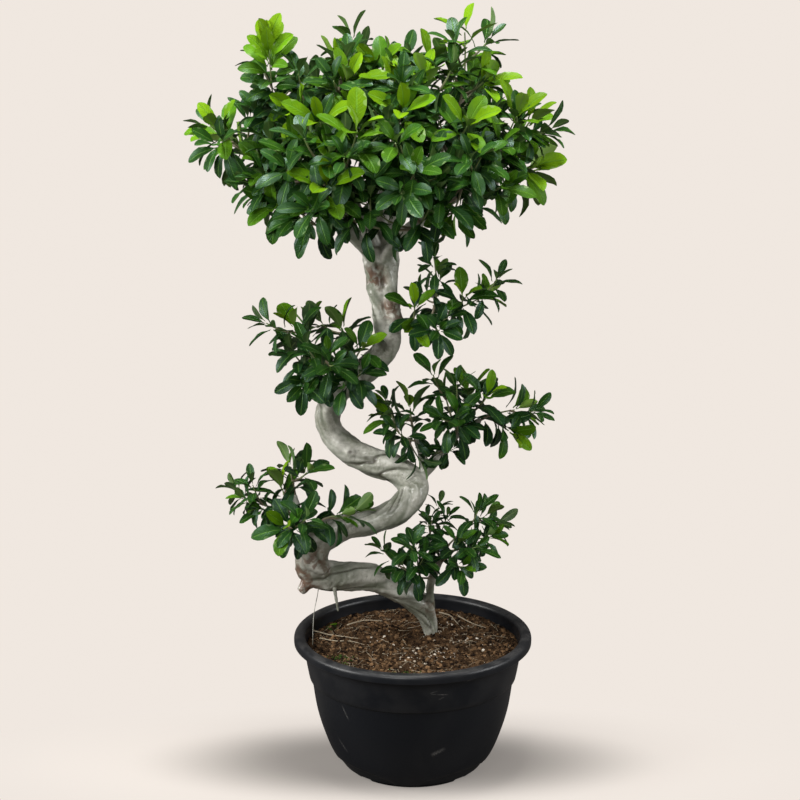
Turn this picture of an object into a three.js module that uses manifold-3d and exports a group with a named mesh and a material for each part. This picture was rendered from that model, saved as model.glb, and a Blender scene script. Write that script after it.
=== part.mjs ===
// A chinese banyan bonsai (Ficus microcarpa) in its pot, in millimetres, +Z up, front towards -Y.
// The origin is the centre of the flat pad under the pot. The tree's S-shaped trunk, its limbs and
// its buried roots are one piece; every leafy spray is a forked twig with its leaves.
import * as THREE from 'three';
import { mergeVertices } from 'three/addons/utils/BufferGeometryUtils.js';
import Module from 'manifold-3d';

const wasm = await Module();
wasm.setup();

// Gap left between pieces that touch.
const GAP = 0.4;

// Pot: a shallow bowl with a rolled rim, a proud upper band and a recessed, arched foot ring.
// Outlines are [radius, z] going up the outside. The middle of the floor is a flat pad to rest on.
const POT_SEGMENTS = 24;
const POT_WALL = 3;
const FOOT = { inner: 88, outer: 98, height: 7 };
const FLOOR = { under: 6, top: 10 };
const PAD = { radius: 40, slope: 4, top: 4 };
const BODY_OUTLINE = [[108, 7], [122, 28], [134, 58], [144, 93], [151, 139]];
const BAND_OUTLINE = [[155, 142], [159, 164], [163, 192]];
const DRAIN = { count: 6, radius: 6, circle: 66, sides: 8 };
const ARCH = { count: 4, width: 24, height: 3, sides: 32 };

// The rim, from the top of the band down inside its skirt, round the lip and over the rolled top.
const RIM_OUTLINE = [
  [163, 204.5], [174, 203.5], [174, 194], [177, 194], [177.5, 203], [174.5, 207], [169.5, 208],
  [162, 207], [160, 203],
];

// Soil: its surface at the wall, how much it is heaped up in the middle, and where the heap ends.
const SOIL_LEVEL = 188;
const SOIL_HEAP = 5;
const SOIL_SHOULDER = { share: 0.6, rise: 0.7 };

// Trunk centreline from below the soil to the crown head, as [x, y, z, radius].
const TRUNK_SIDES = 8;
const TRUNK_STEPS = 38;
const TRUNK_LINE = [
  [28, 36, 140, 16], [28, 36, 178, 8], [23, 34, 215, 13], [8, 30, 242, 19], [-19, 24, 266, 20],
  [-64, 15, 287, 21], [-108, 4, 294, 21], [-141, -4, 303, 24], [-150, -10, 330, 25],
  [-137, -16, 358, 22], [-99, -24, 381, 19], [-55, -28, 391, 18.5], [-19, -22, 406, 20.5],
  [3, -10, 435, 22.5], [-19, 2, 456, 21], [-56, 12, 467, 20], [-93, 20, 484, 20],
  [-120, 24, 509, 19], [-126, 22, 540, 18], [-113, 15, 568, 17.5], [-89, 6, 589, 17],
  [-62, -2, 615, 17.5], [-39, -8, 645, 18.5], [-35, -10, 675, 19], [-40, -8, 706, 18],
  [-45, -5, 735, 20.5], [-47, 0, 763, 24], [-48, 5, 788, 25],
];

// Limbs and branches, from inside the trunk to their ends, with the radius at both ends.
const LIMB_SIDES = 5;
const LIMB_STEPS = 3;
const LIMBS = {
  crown_front_left: { path: [[-49, 0, 768], [-92, -50, 822], [-145, -92, 872]], radius: [11, 4.5] },
  crown_left: { path: [[-49, 0, 772], [-118, -6, 836], [-200, -22, 900]], radius: [12, 4.5] },
  crown_back_left: { path: [[-49, 5, 768], [-100, 60, 822], [-160, 105, 872]], radius: [11, 4.5] },
  crown_upper_left: { path: [[-49, 0, 780], [-88, -26, 872], [-118, -48, 968]], radius: [11, 4.5] },
  crown_top: { path: [[-49, 5, 780], [-54, 14, 880], [-34, 10, 985]], radius: [12, 4.5] },
  crown_upper_right: { path: [[-49, 0, 780], [-4, -12, 868], [48, -38, 958]], radius: [11, 4.5] },
  crown_right: { path: [[-49, 0, 772], [22, -4, 838], [112, -20, 892]], radius: [12, 4.5] },
  crown_front_right: { path: [[-49, 0, 768], [-8, -56, 826], [44, -104, 872]], radius: [11, 4.5] },
  crown_back: { path: [[-49, 5, 776], [-42, 66, 842], [-44, 122, 900]], radius: [11, 4.5] },
  crown_back_right: { path: [[-49, 5, 768], [16, 54, 828], [82, 104, 882]], radius: [11, 4.5] },
  upper_right: { path: [[-36, -10, 682], [2, -20, 684], [46, -26, 700]], radius: [9, 4] },
  mid_left: { path: [[-124, 20, 540], [-140, -8, 588], [-148, -28, 632]], radius: [9, 4] },
  mid_left_inner: { path: [[-84, 4, 592], [-84, -26, 604], [-84, -42, 628]], radius: [7, 3.5] },
  mid_right: { path: [[0, -8, 440], [34, -8, 478], [62, -8, 515], [98, -10, 538]], radius: [9, 4] },
  mid_right_inner: { path: [[20, -6, 462], [10, -14, 496], [0, -20, 528]], radius: [6, 3.5] },
  low_left: { path: [[-145, -12, 345], [-166, -26, 392], [-172, -26, 430]], radius: [10, 4] },
  low_left_inner: { path: [[-150, -10, 345], [-148, -36, 380], [-132, -50, 398]], radius: [8, 3.5] },
  side_stem: {
    path: [[28, 36, 160], [27, 30, 215], [26, 16, 265], [32, 2, 300], [46, -8, 335]],
    radius: [10, 5],
  },
};

// Main roots in the soil, from the buried base of the trunk.
const BURIED_ROOTS = [
  { path: [[30, 36, 155], [70, 20, 140], [112, -8, 112]], radius: [13, 4] },
  { path: [[30, 36, 155], [52, 78, 138], [60, 104, 110]], radius: [12, 4] },
  { path: [[30, 36, 155], [-20, 62, 132], [-78, 78, 98]], radius: [14, 4] },
  { path: [[30, 36, 155], [-4, -10, 132], [-30, -72, 96]], radius: [13, 4] },
  { path: [[30, 36, 150], [24, 22, 96], [6, 4, 50]], radius: [14, 4] },
];

// Roots that hang from the lower left bend.
const AERIAL_ROOT_SIDES = 6;
const AERIAL_ROOTS = {
  aerial_root_thick: {
    path: [[-119, -12, 300], [-117, -15, 288], [-114, -16, 268], [-111, -15, 246]],
    radius: [4, 1.4],
    steps: 6,
  },
  aerial_root_thin: {
    path: [[-138, -8, 300], [-141, -9, 272], [-147, -8, 240], [-150, -4, 187]],
    radius: [1.4, 1],
    steps: 8,
  },
};

// Leafy sprays by name: the limb each grows on, how far along it (0 to 1), and the tips of its shoots,
// the leading one first. leaf scales the leaves, and leaves is how many the leading shoot has.
const LUSH_LEAF = 1.22;
const PAD_LEAF = 0.86;
const SMALL_LEAF = 0.56;
const SPIRE_LEAVES = 7;
const SPRAYS = {
  crown_spray: [
    { limb: 'crown_front_left', at: 1, tips: [[-160, -150, 950], [-110, -190, 950]] },
    { limb: 'crown_front_left', at: 0.8, tips: [[-115, -195, 905], [-75, -195, 980]] },
    { limb: 'crown_front_left', at: 0.6, tips: [[-165, -125, 860], [-145, -150, 865]] },
    { limb: 'crown_left', at: 1, tips: [[-278, -62, 965], [-240, 0, 930]], leaf: LUSH_LEAF },
    { limb: 'crown_left', at: 0.9, tips: [[-206, -95, 1088]], leaves: SPIRE_LEAVES },
    { limb: 'crown_left', at: 0.68, tips: [[-205, -100, 920], [-190, -110, 870]] },
    { limb: 'crown_left', at: 0.5, tips: [[-215, 45, 875], [-210, 75, 915]] },
    { limb: 'crown_back_left', at: 1, tips: [[-190, 110, 950], [-150, 150, 945]] },
    { limb: 'crown_back_left', at: 0.7, tips: [[-140, 150, 875], [-185, 120, 860]] },
    { limb: 'crown_upper_left', at: 1, tips: [[-155, -95, 995], [-90, -105, 1035]] },
    { limb: 'crown_upper_left', at: 0.8, tips: [[-125, -150, 985], [-105, -40, 1040]] },
    { limb: 'crown_upper_left', at: 0.62, tips: [[-145, 30, 1005], [-185, 55, 970]] },
    { limb: 'crown_top', at: 1, tips: [[-50, -40, 1045], [-90, -20, 1045]] },
    { limb: 'crown_top', at: 0.82, tips: [[-15, -150, 1000], [-30, -90, 1030]] },
    { limb: 'crown_top', at: 0.7, tips: [[-90, 75, 1020], [-35, 65, 1040]] },
    { limb: 'crown_top', at: 0.55, tips: [[22, -15, 1055]] },
    { limb: 'crown_upper_right', at: 1, tips: [[70, -30, 1095], [95, -60, 1030]] },
    { limb: 'crown_upper_right', at: 0.8, tips: [[70, -150, 980], [15, -90, 1035]] },
    { limb: 'crown_upper_right', at: 0.62, tips: [[-25, -205, 965], [0, -205, 930]] },
    { limb: 'crown_right', at: 1, tips: [[160, -55, 910], [162, 15, 895]], leaf: LUSH_LEAF },
    { limb: 'crown_right', at: 0.8, tips: [[140, -75, 985], [160, -50, 975]], leaf: LUSH_LEAF },
    { limb: 'crown_right', at: 0.62, tips: [[115, -110, 950], [120, -120, 895]] },
    { limb: 'crown_front_right', at: 1, tips: [[90, -150, 940], [55, -130, 865]] },
    { limb: 'crown_front_right', at: 0.75, tips: [[90, -90, 870], [35, -175, 900]] },
    { limb: 'crown_front_right', at: 0.5, tips: [[20, -155, 870], [-45, -120, 855], [-95, -165, 865]] },
    { limb: 'crown_back', at: 1, tips: [[-50, 170, 965], [-100, 150, 965]] },
    { limb: 'crown_back', at: 0.72, tips: [[-5, 175, 905], [-70, 170, 885]] },
    { limb: 'crown_back', at: 0.5, tips: [[-30, 130, 845], [-85, 115, 840]] },
    { limb: 'crown_back_right', at: 1, tips: [[95, 140, 940], [55, 150, 965]] },
    { limb: 'crown_back_right', at: 0.78, tips: [[130, 100, 895], [75, 150, 880]] },
    { limb: 'crown_back_right', at: 0.55, tips: [[60, 65, 1020], [110, 70, 970]] },
  ],
  upper_right_spray: [
    { limb: 'upper_right', at: 1, tips: [[98, -12, 720], [70, -42, 726]] },
    { limb: 'upper_right', at: 0.75, tips: [[37, -8, 746], [14, 8, 718]] },
    { limb: 'upper_right', at: 0.6, tips: [[48, -52, 698], [36, -78, 686]] },
    { limb: 'upper_right', at: 0.42, tips: [[2, -52, 714], [0, -42, 690]] },
  ],
  mid_left_spray: [
    { limb: 'mid_left', at: 1, tips: [[-180, -42, 682], [-160, 8, 672]] },
    { limb: 'mid_left', at: 0.8, tips: [[-182, -38, 646], [-165, -68, 606]] },
    { limb: 'mid_left', at: 0.6, tips: [[-130, -90, 654], [-142, -70, 625]] },
    { limb: 'mid_left_inner', at: 1, tips: [[-86, -62, 655], [-112, -14, 675]] },
    { limb: 'mid_left_inner', at: 0.7, tips: [[-110, -80, 606], [-86, -80, 626]] },
  ],
  mid_right_spray: [
    { limb: 'mid_right', at: 1, tips: [[148, 2, 550], [138, -26, 526]] },
    { limb: 'mid_right', at: 0.85, tips: [[82, -14, 580], [106, -42, 582]] },
    { limb: 'mid_right', at: 0.7, tips: [[64, -70, 560], [46, -4, 576]] },
    { limb: 'mid_right', at: 0.5, tips: [[58, -32, 500], [30, -28, 494]] },
    { limb: 'mid_right_inner', at: 1, tips: [[-4, -4, 554], [-32, -24, 546]] },
    { limb: 'mid_right_inner', at: 0.7, tips: [[-24, -54, 534], [12, -30, 482]] },
  ],
  low_left_spray: [
    { limb: 'low_left', at: 1, tips: [[-182, 10, 462], [-154, -36, 466]] },
    { limb: 'low_left', at: 0.8, tips: [[-244, -28, 424], [-222, -40, 412]] },
    { limb: 'low_left', at: 0.55, tips: [[-182, -82, 398], [-190, -30, 440]] },
    { limb: 'low_left_inner', at: 1, tips: [[-108, -58, 408], [-84, -46, 408]] },
    { limb: 'low_left_inner', at: 0.6, tips: [[-158, -68, 408]], leaf: PAD_LEAF },
  ],
  low_right_spray: [
    { limb: 'side_stem', at: 1, tips: [[106, 0, 388], [112, -22, 364]] },
    { limb: 'side_stem', at: 0.84, tips: [[22, 8, 380], [50, 12, 382]] },
    { limb: 'side_stem', at: 0.9, tips: [[66, -46, 362], [72, -66, 328]] },
    { limb: 'side_stem', at: 0.74, tips: [[-14, -64, 332], [4, -46, 356]] },
  ],
};

// Shoots: twig thickness, where side shoots fork off, how far a shoot sags before it turns up, and how
// far the end shoot of a limb runs straight on.
const TWIG_SIDES = 3;
const TWIG_STEPS = 3;
const TWIG_RADIUS = { start: 3, end: 1.6 };
const FORK_AT = 0.4;
const SHOOT_SAG = 0.17;
const SHOOT_RUN = 0.4;
const LOWEST_LEAF = 0.12;

// Leaves: full size, how many stand on a shoot, and the spacing of those in the living spiral. The
// model keeps every third leaf of the spiral.
const LEAF = { length: 52, width: 22, thickness: 1.6, fold: 2.2, belly: 0.12, taper: 0.05 };
const LEAVES = { lead: 4, side: 3 };
const LEAF_STRIDE = 3;
const LEAF_SPACING = { first: 1.5, step: 2.6, growth: 0.2 };
const GOLDEN_ANGLE = THREE.MathUtils.degToRad(137.5);
const LEAF_SEED = { spray: 2.1, shoot: 1.3 };
const LEAF_SIDE = new THREE.Vector3(0.3, 0.2, 1);

// How leaves open from the tip of a shoot back: degrees from the twig, droop, and share of full size.
const LEAF_SPREAD = { youngest: 20, opening: 66, settled: 10, ease: 0.8 };
const LEAF_DROOP = 0.034;
const LEAF_GROWN = { youngest: 0.85, full: 2 };
const TOWARDS_LIGHT = 0.9;
const LEAF_CLEARANCE = 1.06;
const TRY_TURNS = [0, 24, -24, 48, -48, 75, -75];

const UP = new THREE.Vector3(0, 0, 1);
const LIGHT = new THREE.Vector3(0, -0.25, 1).normalize();

const finish = (color, roughness) =>
  new THREE.MeshStandardMaterial({ color, roughness, metalness: 0, flatShading: true });
const FINISHES = {
  pot: finish('#1d1d20', 0.42),
  soil: finish('#3a2a20', 0.95),
  bark: finish('#c0b8a6', 0.72),
  leaf: finish('#2f6a26', 0.34),
};

const vector = ([x, y, z]) => new THREE.Vector3(x, y, z);

// A three.js geometry as a solid that can be joined and cut.
function toSolid(geometry) {
  const bare = geometry.index ? geometry.toNonIndexed() : geometry.clone();
  bare.deleteAttribute('normal');
  bare.deleteAttribute('uv');
  const merged = mergeVertices(bare, 1e-4);
  return new wasm.Manifold(
    new wasm.Mesh({
      numProp: 3,
      vertProperties: merged.attributes.position.array,
      triVerts: new Uint32Array(merged.index.array),
    }),
  );
}

// The solid's surface as a three.js mesh.
function toMesh(name, solid, material) {
  const { numProp, numVert, vertProperties, triVerts } = solid.getMesh();
  const position = new Float32Array(numVert * 3);
  for (let i = 0; i < numVert; i++) {
    position.set(vertProperties.subarray(i * numProp, i * numProp + 3), i * 3);
  }
  const geometry = new THREE.BufferGeometry();
  geometry.setAttribute('position', new THREE.BufferAttribute(position, 3));
  geometry.setIndex(new THREE.BufferAttribute(triVerts, 1));
  geometry.computeVertexNormals();
  const mesh = new THREE.Mesh(geometry, material);
  mesh.name = name;
  return mesh;
}

const join = (solids) => solids.reduce((whole, solid) => whole.add(solid));

// A tube along a curve whose radius changes: a section of radius 1 is swept, then every corner is
// moved out from its station on the curve.
function taperedTube(curve, radiusAt, sides, steps) {
  const corners = Array.from({ length: sides }, (_, i) => {
    const angle = (2 * Math.PI * i) / sides;
    return new THREE.Vector2(Math.cos(angle), Math.sin(angle));
  });
  const geometry = new THREE.ExtrudeGeometry(new THREE.Shape(corners), {
    steps,
    extrudePath: curve,
    bevelEnabled: false,
  });
  const stations = curve.getSpacedPoints(steps);
  const position = geometry.getAttribute('position');
  const corner = new THREE.Vector3();
  for (let i = 0; i < position.count; i++) {
    corner.fromBufferAttribute(position, i);
    const distances = stations.map((station) => station.distanceToSquared(corner));
    const nearest = distances.indexOf(Math.min(...distances));
    corner.sub(stations[nearest]).multiplyScalar(radiusAt(nearest / steps)).add(stations[nearest]);
    position.setXYZ(i, corner.x, corner.y, corner.z);
  }
  return toSolid(geometry);
}

// A tube through points, with a radius at each of them.
function limbTube(points, radii, sides, steps, extra = 0) {
  const curve = new THREE.CatmullRomCurve3(points.map(vector));
  const radiusAt = (u) => {
    const place = curve.getUtoTmapping(u) * (radii.length - 1);
    const before = Math.min(Math.floor(place), radii.length - 2);
    return THREE.MathUtils.lerp(radii[before], radii[before + 1], place - before) + extra;
  };
  return taperedTube(curve, radiusAt, sides, steps);
}

const limbCurve = (limb) => new THREE.CatmullRomCurve3(limb.path.map(vector));

// The tree's wood: trunk, limbs and buried roots. extra thickens it, to cut room for it elsewhere.
function wood(extra = 0) {
  const points = TRUNK_LINE.map(([x, y, z]) => [x, y, z]);
  const radii = TRUNK_LINE.map(([, , , radius]) => radius);
  const trunk = limbTube(points, radii, TRUNK_SIDES, TRUNK_STEPS, extra);
  const arms = [...Object.values(LIMBS), ...BURIED_ROOTS].map(({ path, radius }) =>
    limbTube(path, radius, LIMB_SIDES, LIMB_STEPS, extra),
  );
  return join([trunk, ...arms]);
}

function lathe(outline) {
  const profile = outline.map(([radius, z]) => new THREE.Vector2(radius, z));
  return new THREE.LatheGeometry(profile, POT_SEGMENTS).rotateX(Math.PI / 2);
}

const inset = ([radius, z], by) => [radius - by, z];

// The pot's inner wall from the floor up, which the soil follows with a gap.
const innerOutline = (gap = 0) => [
  [BODY_OUTLINE[0][0] - 2 * POT_WALL - gap, FLOOR.top + gap],
  ...BODY_OUTLINE.slice(1).map((point) => inset(point, POT_WALL + gap)),
  ...BAND_OUTLINE.slice(0, 2).map((point) => inset(point, POT_WALL + gap)),
];

function pot() {
  const shell = toSolid(
    lathe([
      [0, 0],
      [PAD.radius, 0],
      [PAD.radius + PAD.slope, FLOOR.under],
      [FOOT.inner - PAD.slope, FLOOR.under],
      [FOOT.inner, 0],
      [FOOT.outer, 0],
      [FOOT.outer, FOOT.height],
      ...BODY_OUTLINE,
      ...BAND_OUTLINE,
      ...RIM_OUTLINE,
      inset(BAND_OUTLINE.at(-1), POT_WALL),
      ...innerOutline().reverse(),
      [PAD.radius + PAD.slope, FLOOR.top],
      [PAD.radius, PAD.top],
      [0, PAD.top],
    ]),
  );
  const drains = Array.from({ length: DRAIN.count }, (_, i) => {
    const hole = new THREE.CylinderGeometry(DRAIN.radius, DRAIN.radius, 2 * FLOOR.top, DRAIN.sides);
    hole.rotateX(Math.PI / 2).translate(DRAIN.circle, 0, FLOOR.top);
    return toSolid(hole.rotateZ((2 * Math.PI * i) / DRAIN.count));
  });
  const archRadius = (ARCH.width ** 2 / 4 + ARCH.height ** 2) / (2 * ARCH.height);
  const archDepth = 3 * (FOOT.outer - FOOT.inner);
  const arches = Array.from({ length: ARCH.count }, (_, i) => {
    const arch = new THREE.CylinderGeometry(archRadius, archRadius, archDepth, ARCH.sides);
    arch.rotateZ(Math.PI / 2).translate((FOOT.inner + FOOT.outer) / 2, 0, ARCH.height - archRadius);
    return toSolid(arch.rotateZ((2 * Math.PI * (i + 0.5)) / ARCH.count));
  });
  return [...drains, ...arches].reduce((body, cut) => body.subtract(cut), shell);
}

function soil(room) {
  const wallTop = BAND_OUTLINE[1][0] - POT_WALL - GAP;
  const levelShare = (SOIL_LEVEL - BAND_OUTLINE[1][1]) / (BAND_OUTLINE[2][1] - BAND_OUTLINE[1][1]);
  const levelRadius = wallTop + levelShare * (BAND_OUTLINE[2][0] - BAND_OUTLINE[1][0]);
  const body = toSolid(
    lathe([
      [0, PAD.top + GAP],
      [PAD.radius - GAP, PAD.top + GAP],
      [PAD.radius + PAD.slope - GAP, FLOOR.top + GAP],
      ...innerOutline(GAP),
      [levelRadius, SOIL_LEVEL],
      [levelRadius * SOIL_SHOULDER.share, SOIL_LEVEL + SOIL_HEAP * SOIL_SHOULDER.rise],
      [0, SOIL_LEVEL + SOIL_HEAP],
    ]),
  );
  return body.subtract(room);
}

// The shoots of a spray: the leading one from the limb, the others forking off it.
function shootCurves({ limb, at, tips }) {
  const arm = limbCurve(LIMBS[limb]);
  const tangent = arm.getTangentAt(at);
  const start = arm.getPointAt(at);
  if (at === 1) start.addScaledVector(tangent, GAP);
  const [leadTip, ...sideTips] = tips.map(vector);
  const lead = shootCurve(start, leadTip, at === 1 ? tangent : undefined);
  const sides = sideTips.map((tip) => shootCurve(lead.getPointAt(FORK_AT), tip));
  return [lead, ...sides];
}

// One shoot, which leaves along a tangent or sags a little, and turns up towards its tip.
function shootCurve(start, tip, tangent) {
  const reach = tip.clone().sub(start);
  const bend = start.clone().addScaledVector(reach, 0.5).addScaledVector(UP, -SHOOT_SAG * reach.length());
  if (tangent) bend.copy(start).addScaledVector(tangent, SHOOT_RUN * reach.length());
  return new THREE.QuadraticBezierCurve3(start, bend, tip);
}

function twig(curve) {
  const radiusAt = (u) => THREE.MathUtils.lerp(TWIG_RADIUS.start, TWIG_RADIUS.end, u);
  return taperedTube(curve, radiusAt, TWIG_SIDES, TWIG_STEPS);
}

// A leaf of full size: a six-cornered lens along +X, broadest past its middle and folded up a little
// along its midrib.
function leafBlade(thickness) {
  const blade = new THREE.SphereGeometry(1, 6, 2).rotateX(Math.PI / 2);
  const position = blade.getAttribute('position');
  const halfWidth = LEAF.width / Math.sqrt(3);
  for (let i = 0; i < position.count; i++) {
    const [along, across, up] = [position.getX(i), position.getY(i), position.getZ(i)];
    position.setXYZ(
      i,
      (LEAF.length / 2) * (1 + along + LEAF.belly * (1 - along ** 2)),
      halfWidth * across * (1 - LEAF.taper + 2 * LEAF.taper * along),
      (thickness / 2) * up + LEAF.fold * Math.abs(across),
    );
  }
  return blade;
}

// A point on the straight stretches that a twig is made of.
function pointOnTwig(curve, place) {
  const stretch = Math.min(Math.floor(place * TWIG_STEPS), TWIG_STEPS - 1);
  const [from, to] = [stretch, stretch + 1].map((i) => curve.getPointAt(i / TWIG_STEPS));
  return from.lerp(to, place * TWIG_STEPS - stretch);
}

// Where leaf number k from the tip of a shoot stands, which way it points and which way it faces.
function leafFrame(curve, k, size, seed, turn) {
  const back = (LEAF_SPACING.first + LEAF_SPACING.step * k + LEAF_SPACING.growth * k ** 2) * size;
  const place = Math.max(1 - back / curve.getLength(), LOWEST_LEAF);
  const axis = curve.getTangentAt(place);
  const side = LEAF_SIDE.clone().cross(axis).normalize();
  const radial = side.applyAxisAngle(axis, seed + k * GOLDEN_ANGLE + turn);
  const opened = Math.min(1, k / LEAF_SPREAD.settled) ** LEAF_SPREAD.ease;
  const spread = THREE.MathUtils.degToRad(LEAF_SPREAD.youngest + LEAF_SPREAD.opening * opened);
  const along = axis.clone().multiplyScalar(Math.cos(spread)).addScaledVector(radial, Math.sin(spread));
  along.addScaledVector(UP, -LEAF_DROOP * k).normalize();
  const towardsAxis = axis.clone().addScaledVector(along, -axis.dot(along)).normalize();
  const towardsLight = LIGHT.clone().addScaledVector(along, -LIGHT.dot(along));
  const face = towardsAxis.addScaledVector(towardsLight, TOWARDS_LIGHT);
  face.addScaledVector(along, -face.dot(along)).normalize();
  const young = LEAF_GROWN.youngest;
  const grown = size * (young + (1 - young) * Math.min(1, k / LEAF_GROWN.full));
  return new THREE.Matrix4()
    .makeBasis(along, face.clone().cross(along), face)
    .scale(new THREE.Vector3(grown, grown, 1))
    .setPosition(pointOnTwig(curve, place));
}

const boxesMeet = (a, b) => [0, 1, 2].every((i) => a.min[i] <= b.max[i] && b.min[i] <= a.max[i]);

// Whether a solid meets any of the obstacles.
const meets = (solid, obstacles) => {
  const box = solid.boundingBox();
  return obstacles.some((other) => boxesMeet(box, other.box) && !solid.intersect(other.solid).isEmpty());
};

const asObstacle = (solid, spray) => ({ solid, spray, box: solid.boundingBox() });

// Grows the leaves of every spray. A leaf that would cross another spray or the trunk is turned
// round its twig, and is left off where no turn frees it.
function leafySprays(plans, room, fixed) {
  const blade = leafBlade(LEAF.thickness);
  const roomyBlade = leafBlade(LEAF.thickness + 2 * GAP);
  const sprays = plans.map((plan, index) => {
    const curves = shootCurves(plan);
    const twigs = join(curves.map(twig)).subtract(room);
    return { index, curves, twigs, size: plan.leaf ?? 1, lead: plan.leaves ?? LEAVES.lead, leaves: [] };
  });
  const obstacles = [...fixed.map((solid) => asObstacle(solid, -1))];
  obstacles.push(...sprays.map(({ twigs, index }) => asObstacle(twigs, index)));
  const most = Math.max(...sprays.map(({ lead }) => lead));
  for (let n = most - 1; n >= 0; n--) {
    for (const spray of sprays) {
      const others = obstacles.filter((obstacle) => obstacle.spray !== spray.index);
      spray.curves.forEach((curve, shoot) => {
        if (n >= (shoot === 0 ? spray.lead : LEAVES.side)) return;
        const seed = LEAF_SEED.spray * spray.index + LEAF_SEED.shoot * shoot;
        for (const degrees of TRY_TURNS) {
          const turn = THREE.MathUtils.degToRad(degrees);
          const frame = leafFrame(curve, n * LEAF_STRIDE, spray.size, seed, turn);
          const roomy = frame.clone().scale(new THREE.Vector3(LEAF_CLEARANCE, LEAF_CLEARANCE, 1));
          if (meets(toSolid(roomyBlade.clone().applyMatrix4(roomy)), others)) continue;
          const leaf = toSolid(blade.clone().applyMatrix4(frame));
          spray.leaves.push(leaf);
          obstacles.push(asObstacle(leaf, spray.index));
          return;
        }
      });
    }
  }
  return sprays.map(({ twigs, leaves }) => join([twigs, ...leaves]));
}

const tree = new THREE.Group();
const trunk = wood();
const trunkRoom = wood(GAP);
const potBody = pot();
const soilBody = soil(trunkRoom);
const aerialRoots = Object.entries(AERIAL_ROOTS).map(([name, { path, radius, steps }]) => {
  const root = limbTube(path, radius, AERIAL_ROOT_SIDES, steps).subtract(trunkRoom);
  return [name, root.subtract(soilBody)];
});

tree.add(toMesh('pot', potBody, FINISHES.pot));
tree.add(toMesh('soil', soilBody, FINISHES.soil));
tree.add(toMesh('trunk', trunk, FINISHES.bark));
aerialRoots.forEach(([name, root]) => tree.add(toMesh(name, root, FINISHES.bark)));

const sprayNames = Object.entries(SPRAYS).flatMap(([family, plans]) =>
  plans.map((_, i) => `${family}_${String(i + 1).padStart(2, '0')}`),
);
const inTheWay = [trunkRoom, potBody, soilBody, ...aerialRoots.map(([, root]) => root)];
leafySprays(Object.values(SPRAYS).flat(), trunkRoom, inTheWay).forEach((solid, i) => {
  tree.add(toMesh(sprayNames[i], solid, FINISHES.leaf));
});

export default tree;
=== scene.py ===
"""A chinese banyan bonsai in its pot: the visual model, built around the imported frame.

Tables of places are in millimetres, in the frame's own axes: +Z up, the front towards -Y, and the
origin in the middle of the pot's underside. Meshes are made in metres.
"""

import logging
import math
from collections.abc import Callable, Sequence
from dataclasses import dataclass, field
from enum import Enum

import bpy
import numpy as np
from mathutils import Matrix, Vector, noise


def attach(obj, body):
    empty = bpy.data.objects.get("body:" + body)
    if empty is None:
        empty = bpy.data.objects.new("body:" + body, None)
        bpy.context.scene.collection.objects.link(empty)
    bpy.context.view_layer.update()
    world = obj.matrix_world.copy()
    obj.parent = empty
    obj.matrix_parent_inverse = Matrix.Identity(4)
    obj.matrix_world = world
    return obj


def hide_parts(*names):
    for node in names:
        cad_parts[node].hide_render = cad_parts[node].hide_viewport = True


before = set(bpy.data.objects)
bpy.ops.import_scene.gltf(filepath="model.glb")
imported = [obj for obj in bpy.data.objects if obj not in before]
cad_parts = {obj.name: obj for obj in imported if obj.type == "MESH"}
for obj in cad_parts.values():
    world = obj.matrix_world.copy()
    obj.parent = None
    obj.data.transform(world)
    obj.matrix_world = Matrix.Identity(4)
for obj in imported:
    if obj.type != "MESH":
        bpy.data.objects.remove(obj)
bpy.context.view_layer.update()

log = logging.getLogger("bonsai")

MM = 0.001
UP = np.array([0.0, 0.0, 1.0])
# Directions that no tube and no shoot takes exactly, so that what lies across them is never in doubt.
OFF_AXIS = (0.31, 0.17, 0.93)
NEAR_UP = (0.3, 0.2, 1.0)
GOLDEN_ANGLE = math.radians(137.5)
SEED = 20

Point = Sequence[float]
Colour = tuple[float, float, float]
Faces = list[tuple[int, ...]]
Material = bpy.types.Material
Mesh = bpy.types.Mesh
Node = bpy.types.Node
Object = bpy.types.Object
Socket = bpy.types.NodeSocket

# Trunk centreline from below the soil to the crown head, as x, y, z, radius.
TRUNK_LINE = (
    (28, 36, 140, 16), (28, 36, 178, 8), (23, 34, 215, 13), (8, 30, 242, 19), (-19, 24, 266, 20),
    (-64, 15, 287, 21), (-108, 4, 294, 21), (-141, -4, 303, 24), (-150, -10, 330, 25),
    (-137, -16, 358, 22), (-99, -24, 381, 19), (-55, -28, 391, 18.5), (-19, -22, 406, 20.5),
    (3, -10, 435, 22.5), (-19, 2, 456, 21), (-56, 12, 467, 20), (-93, 20, 484, 20),
    (-120, 24, 509, 19), (-126, 22, 540, 18), (-113, 15, 568, 17.5), (-89, 6, 589, 17),
    (-62, -2, 615, 17.5), (-39, -8, 645, 18.5), (-35, -10, 675, 19), (-40, -8, 706, 18),
    (-45, -5, 735, 20.5), (-47, 0, 763, 24), (-48, 5, 788, 25),
)

# Main roots in the soil, from the buried base of the trunk.
BURIED_ROOTS = (
    (((30, 36, 155), (70, 20, 140), (112, -8, 112)), (13, 4)),
    (((30, 36, 155), (52, 78, 138), (60, 104, 110)), (12, 4)),
    (((30, 36, 155), (-20, 62, 132), (-78, 78, 98)), (14, 4)),
    (((30, 36, 155), (-4, -10, 132), (-30, -72, 96)), (13, 4)),
    (((30, 36, 150), (24, 22, 96), (6, 4, 50)), (14, 4)),
)


class Flush(Enum):
    """How fresh the growth at the end of a shoot is: the age of its youngest leaf, from 0 to 1."""

    BRIGHT = 0.0
    GREEN = 0.42
    DEEP = 0.72


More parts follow.
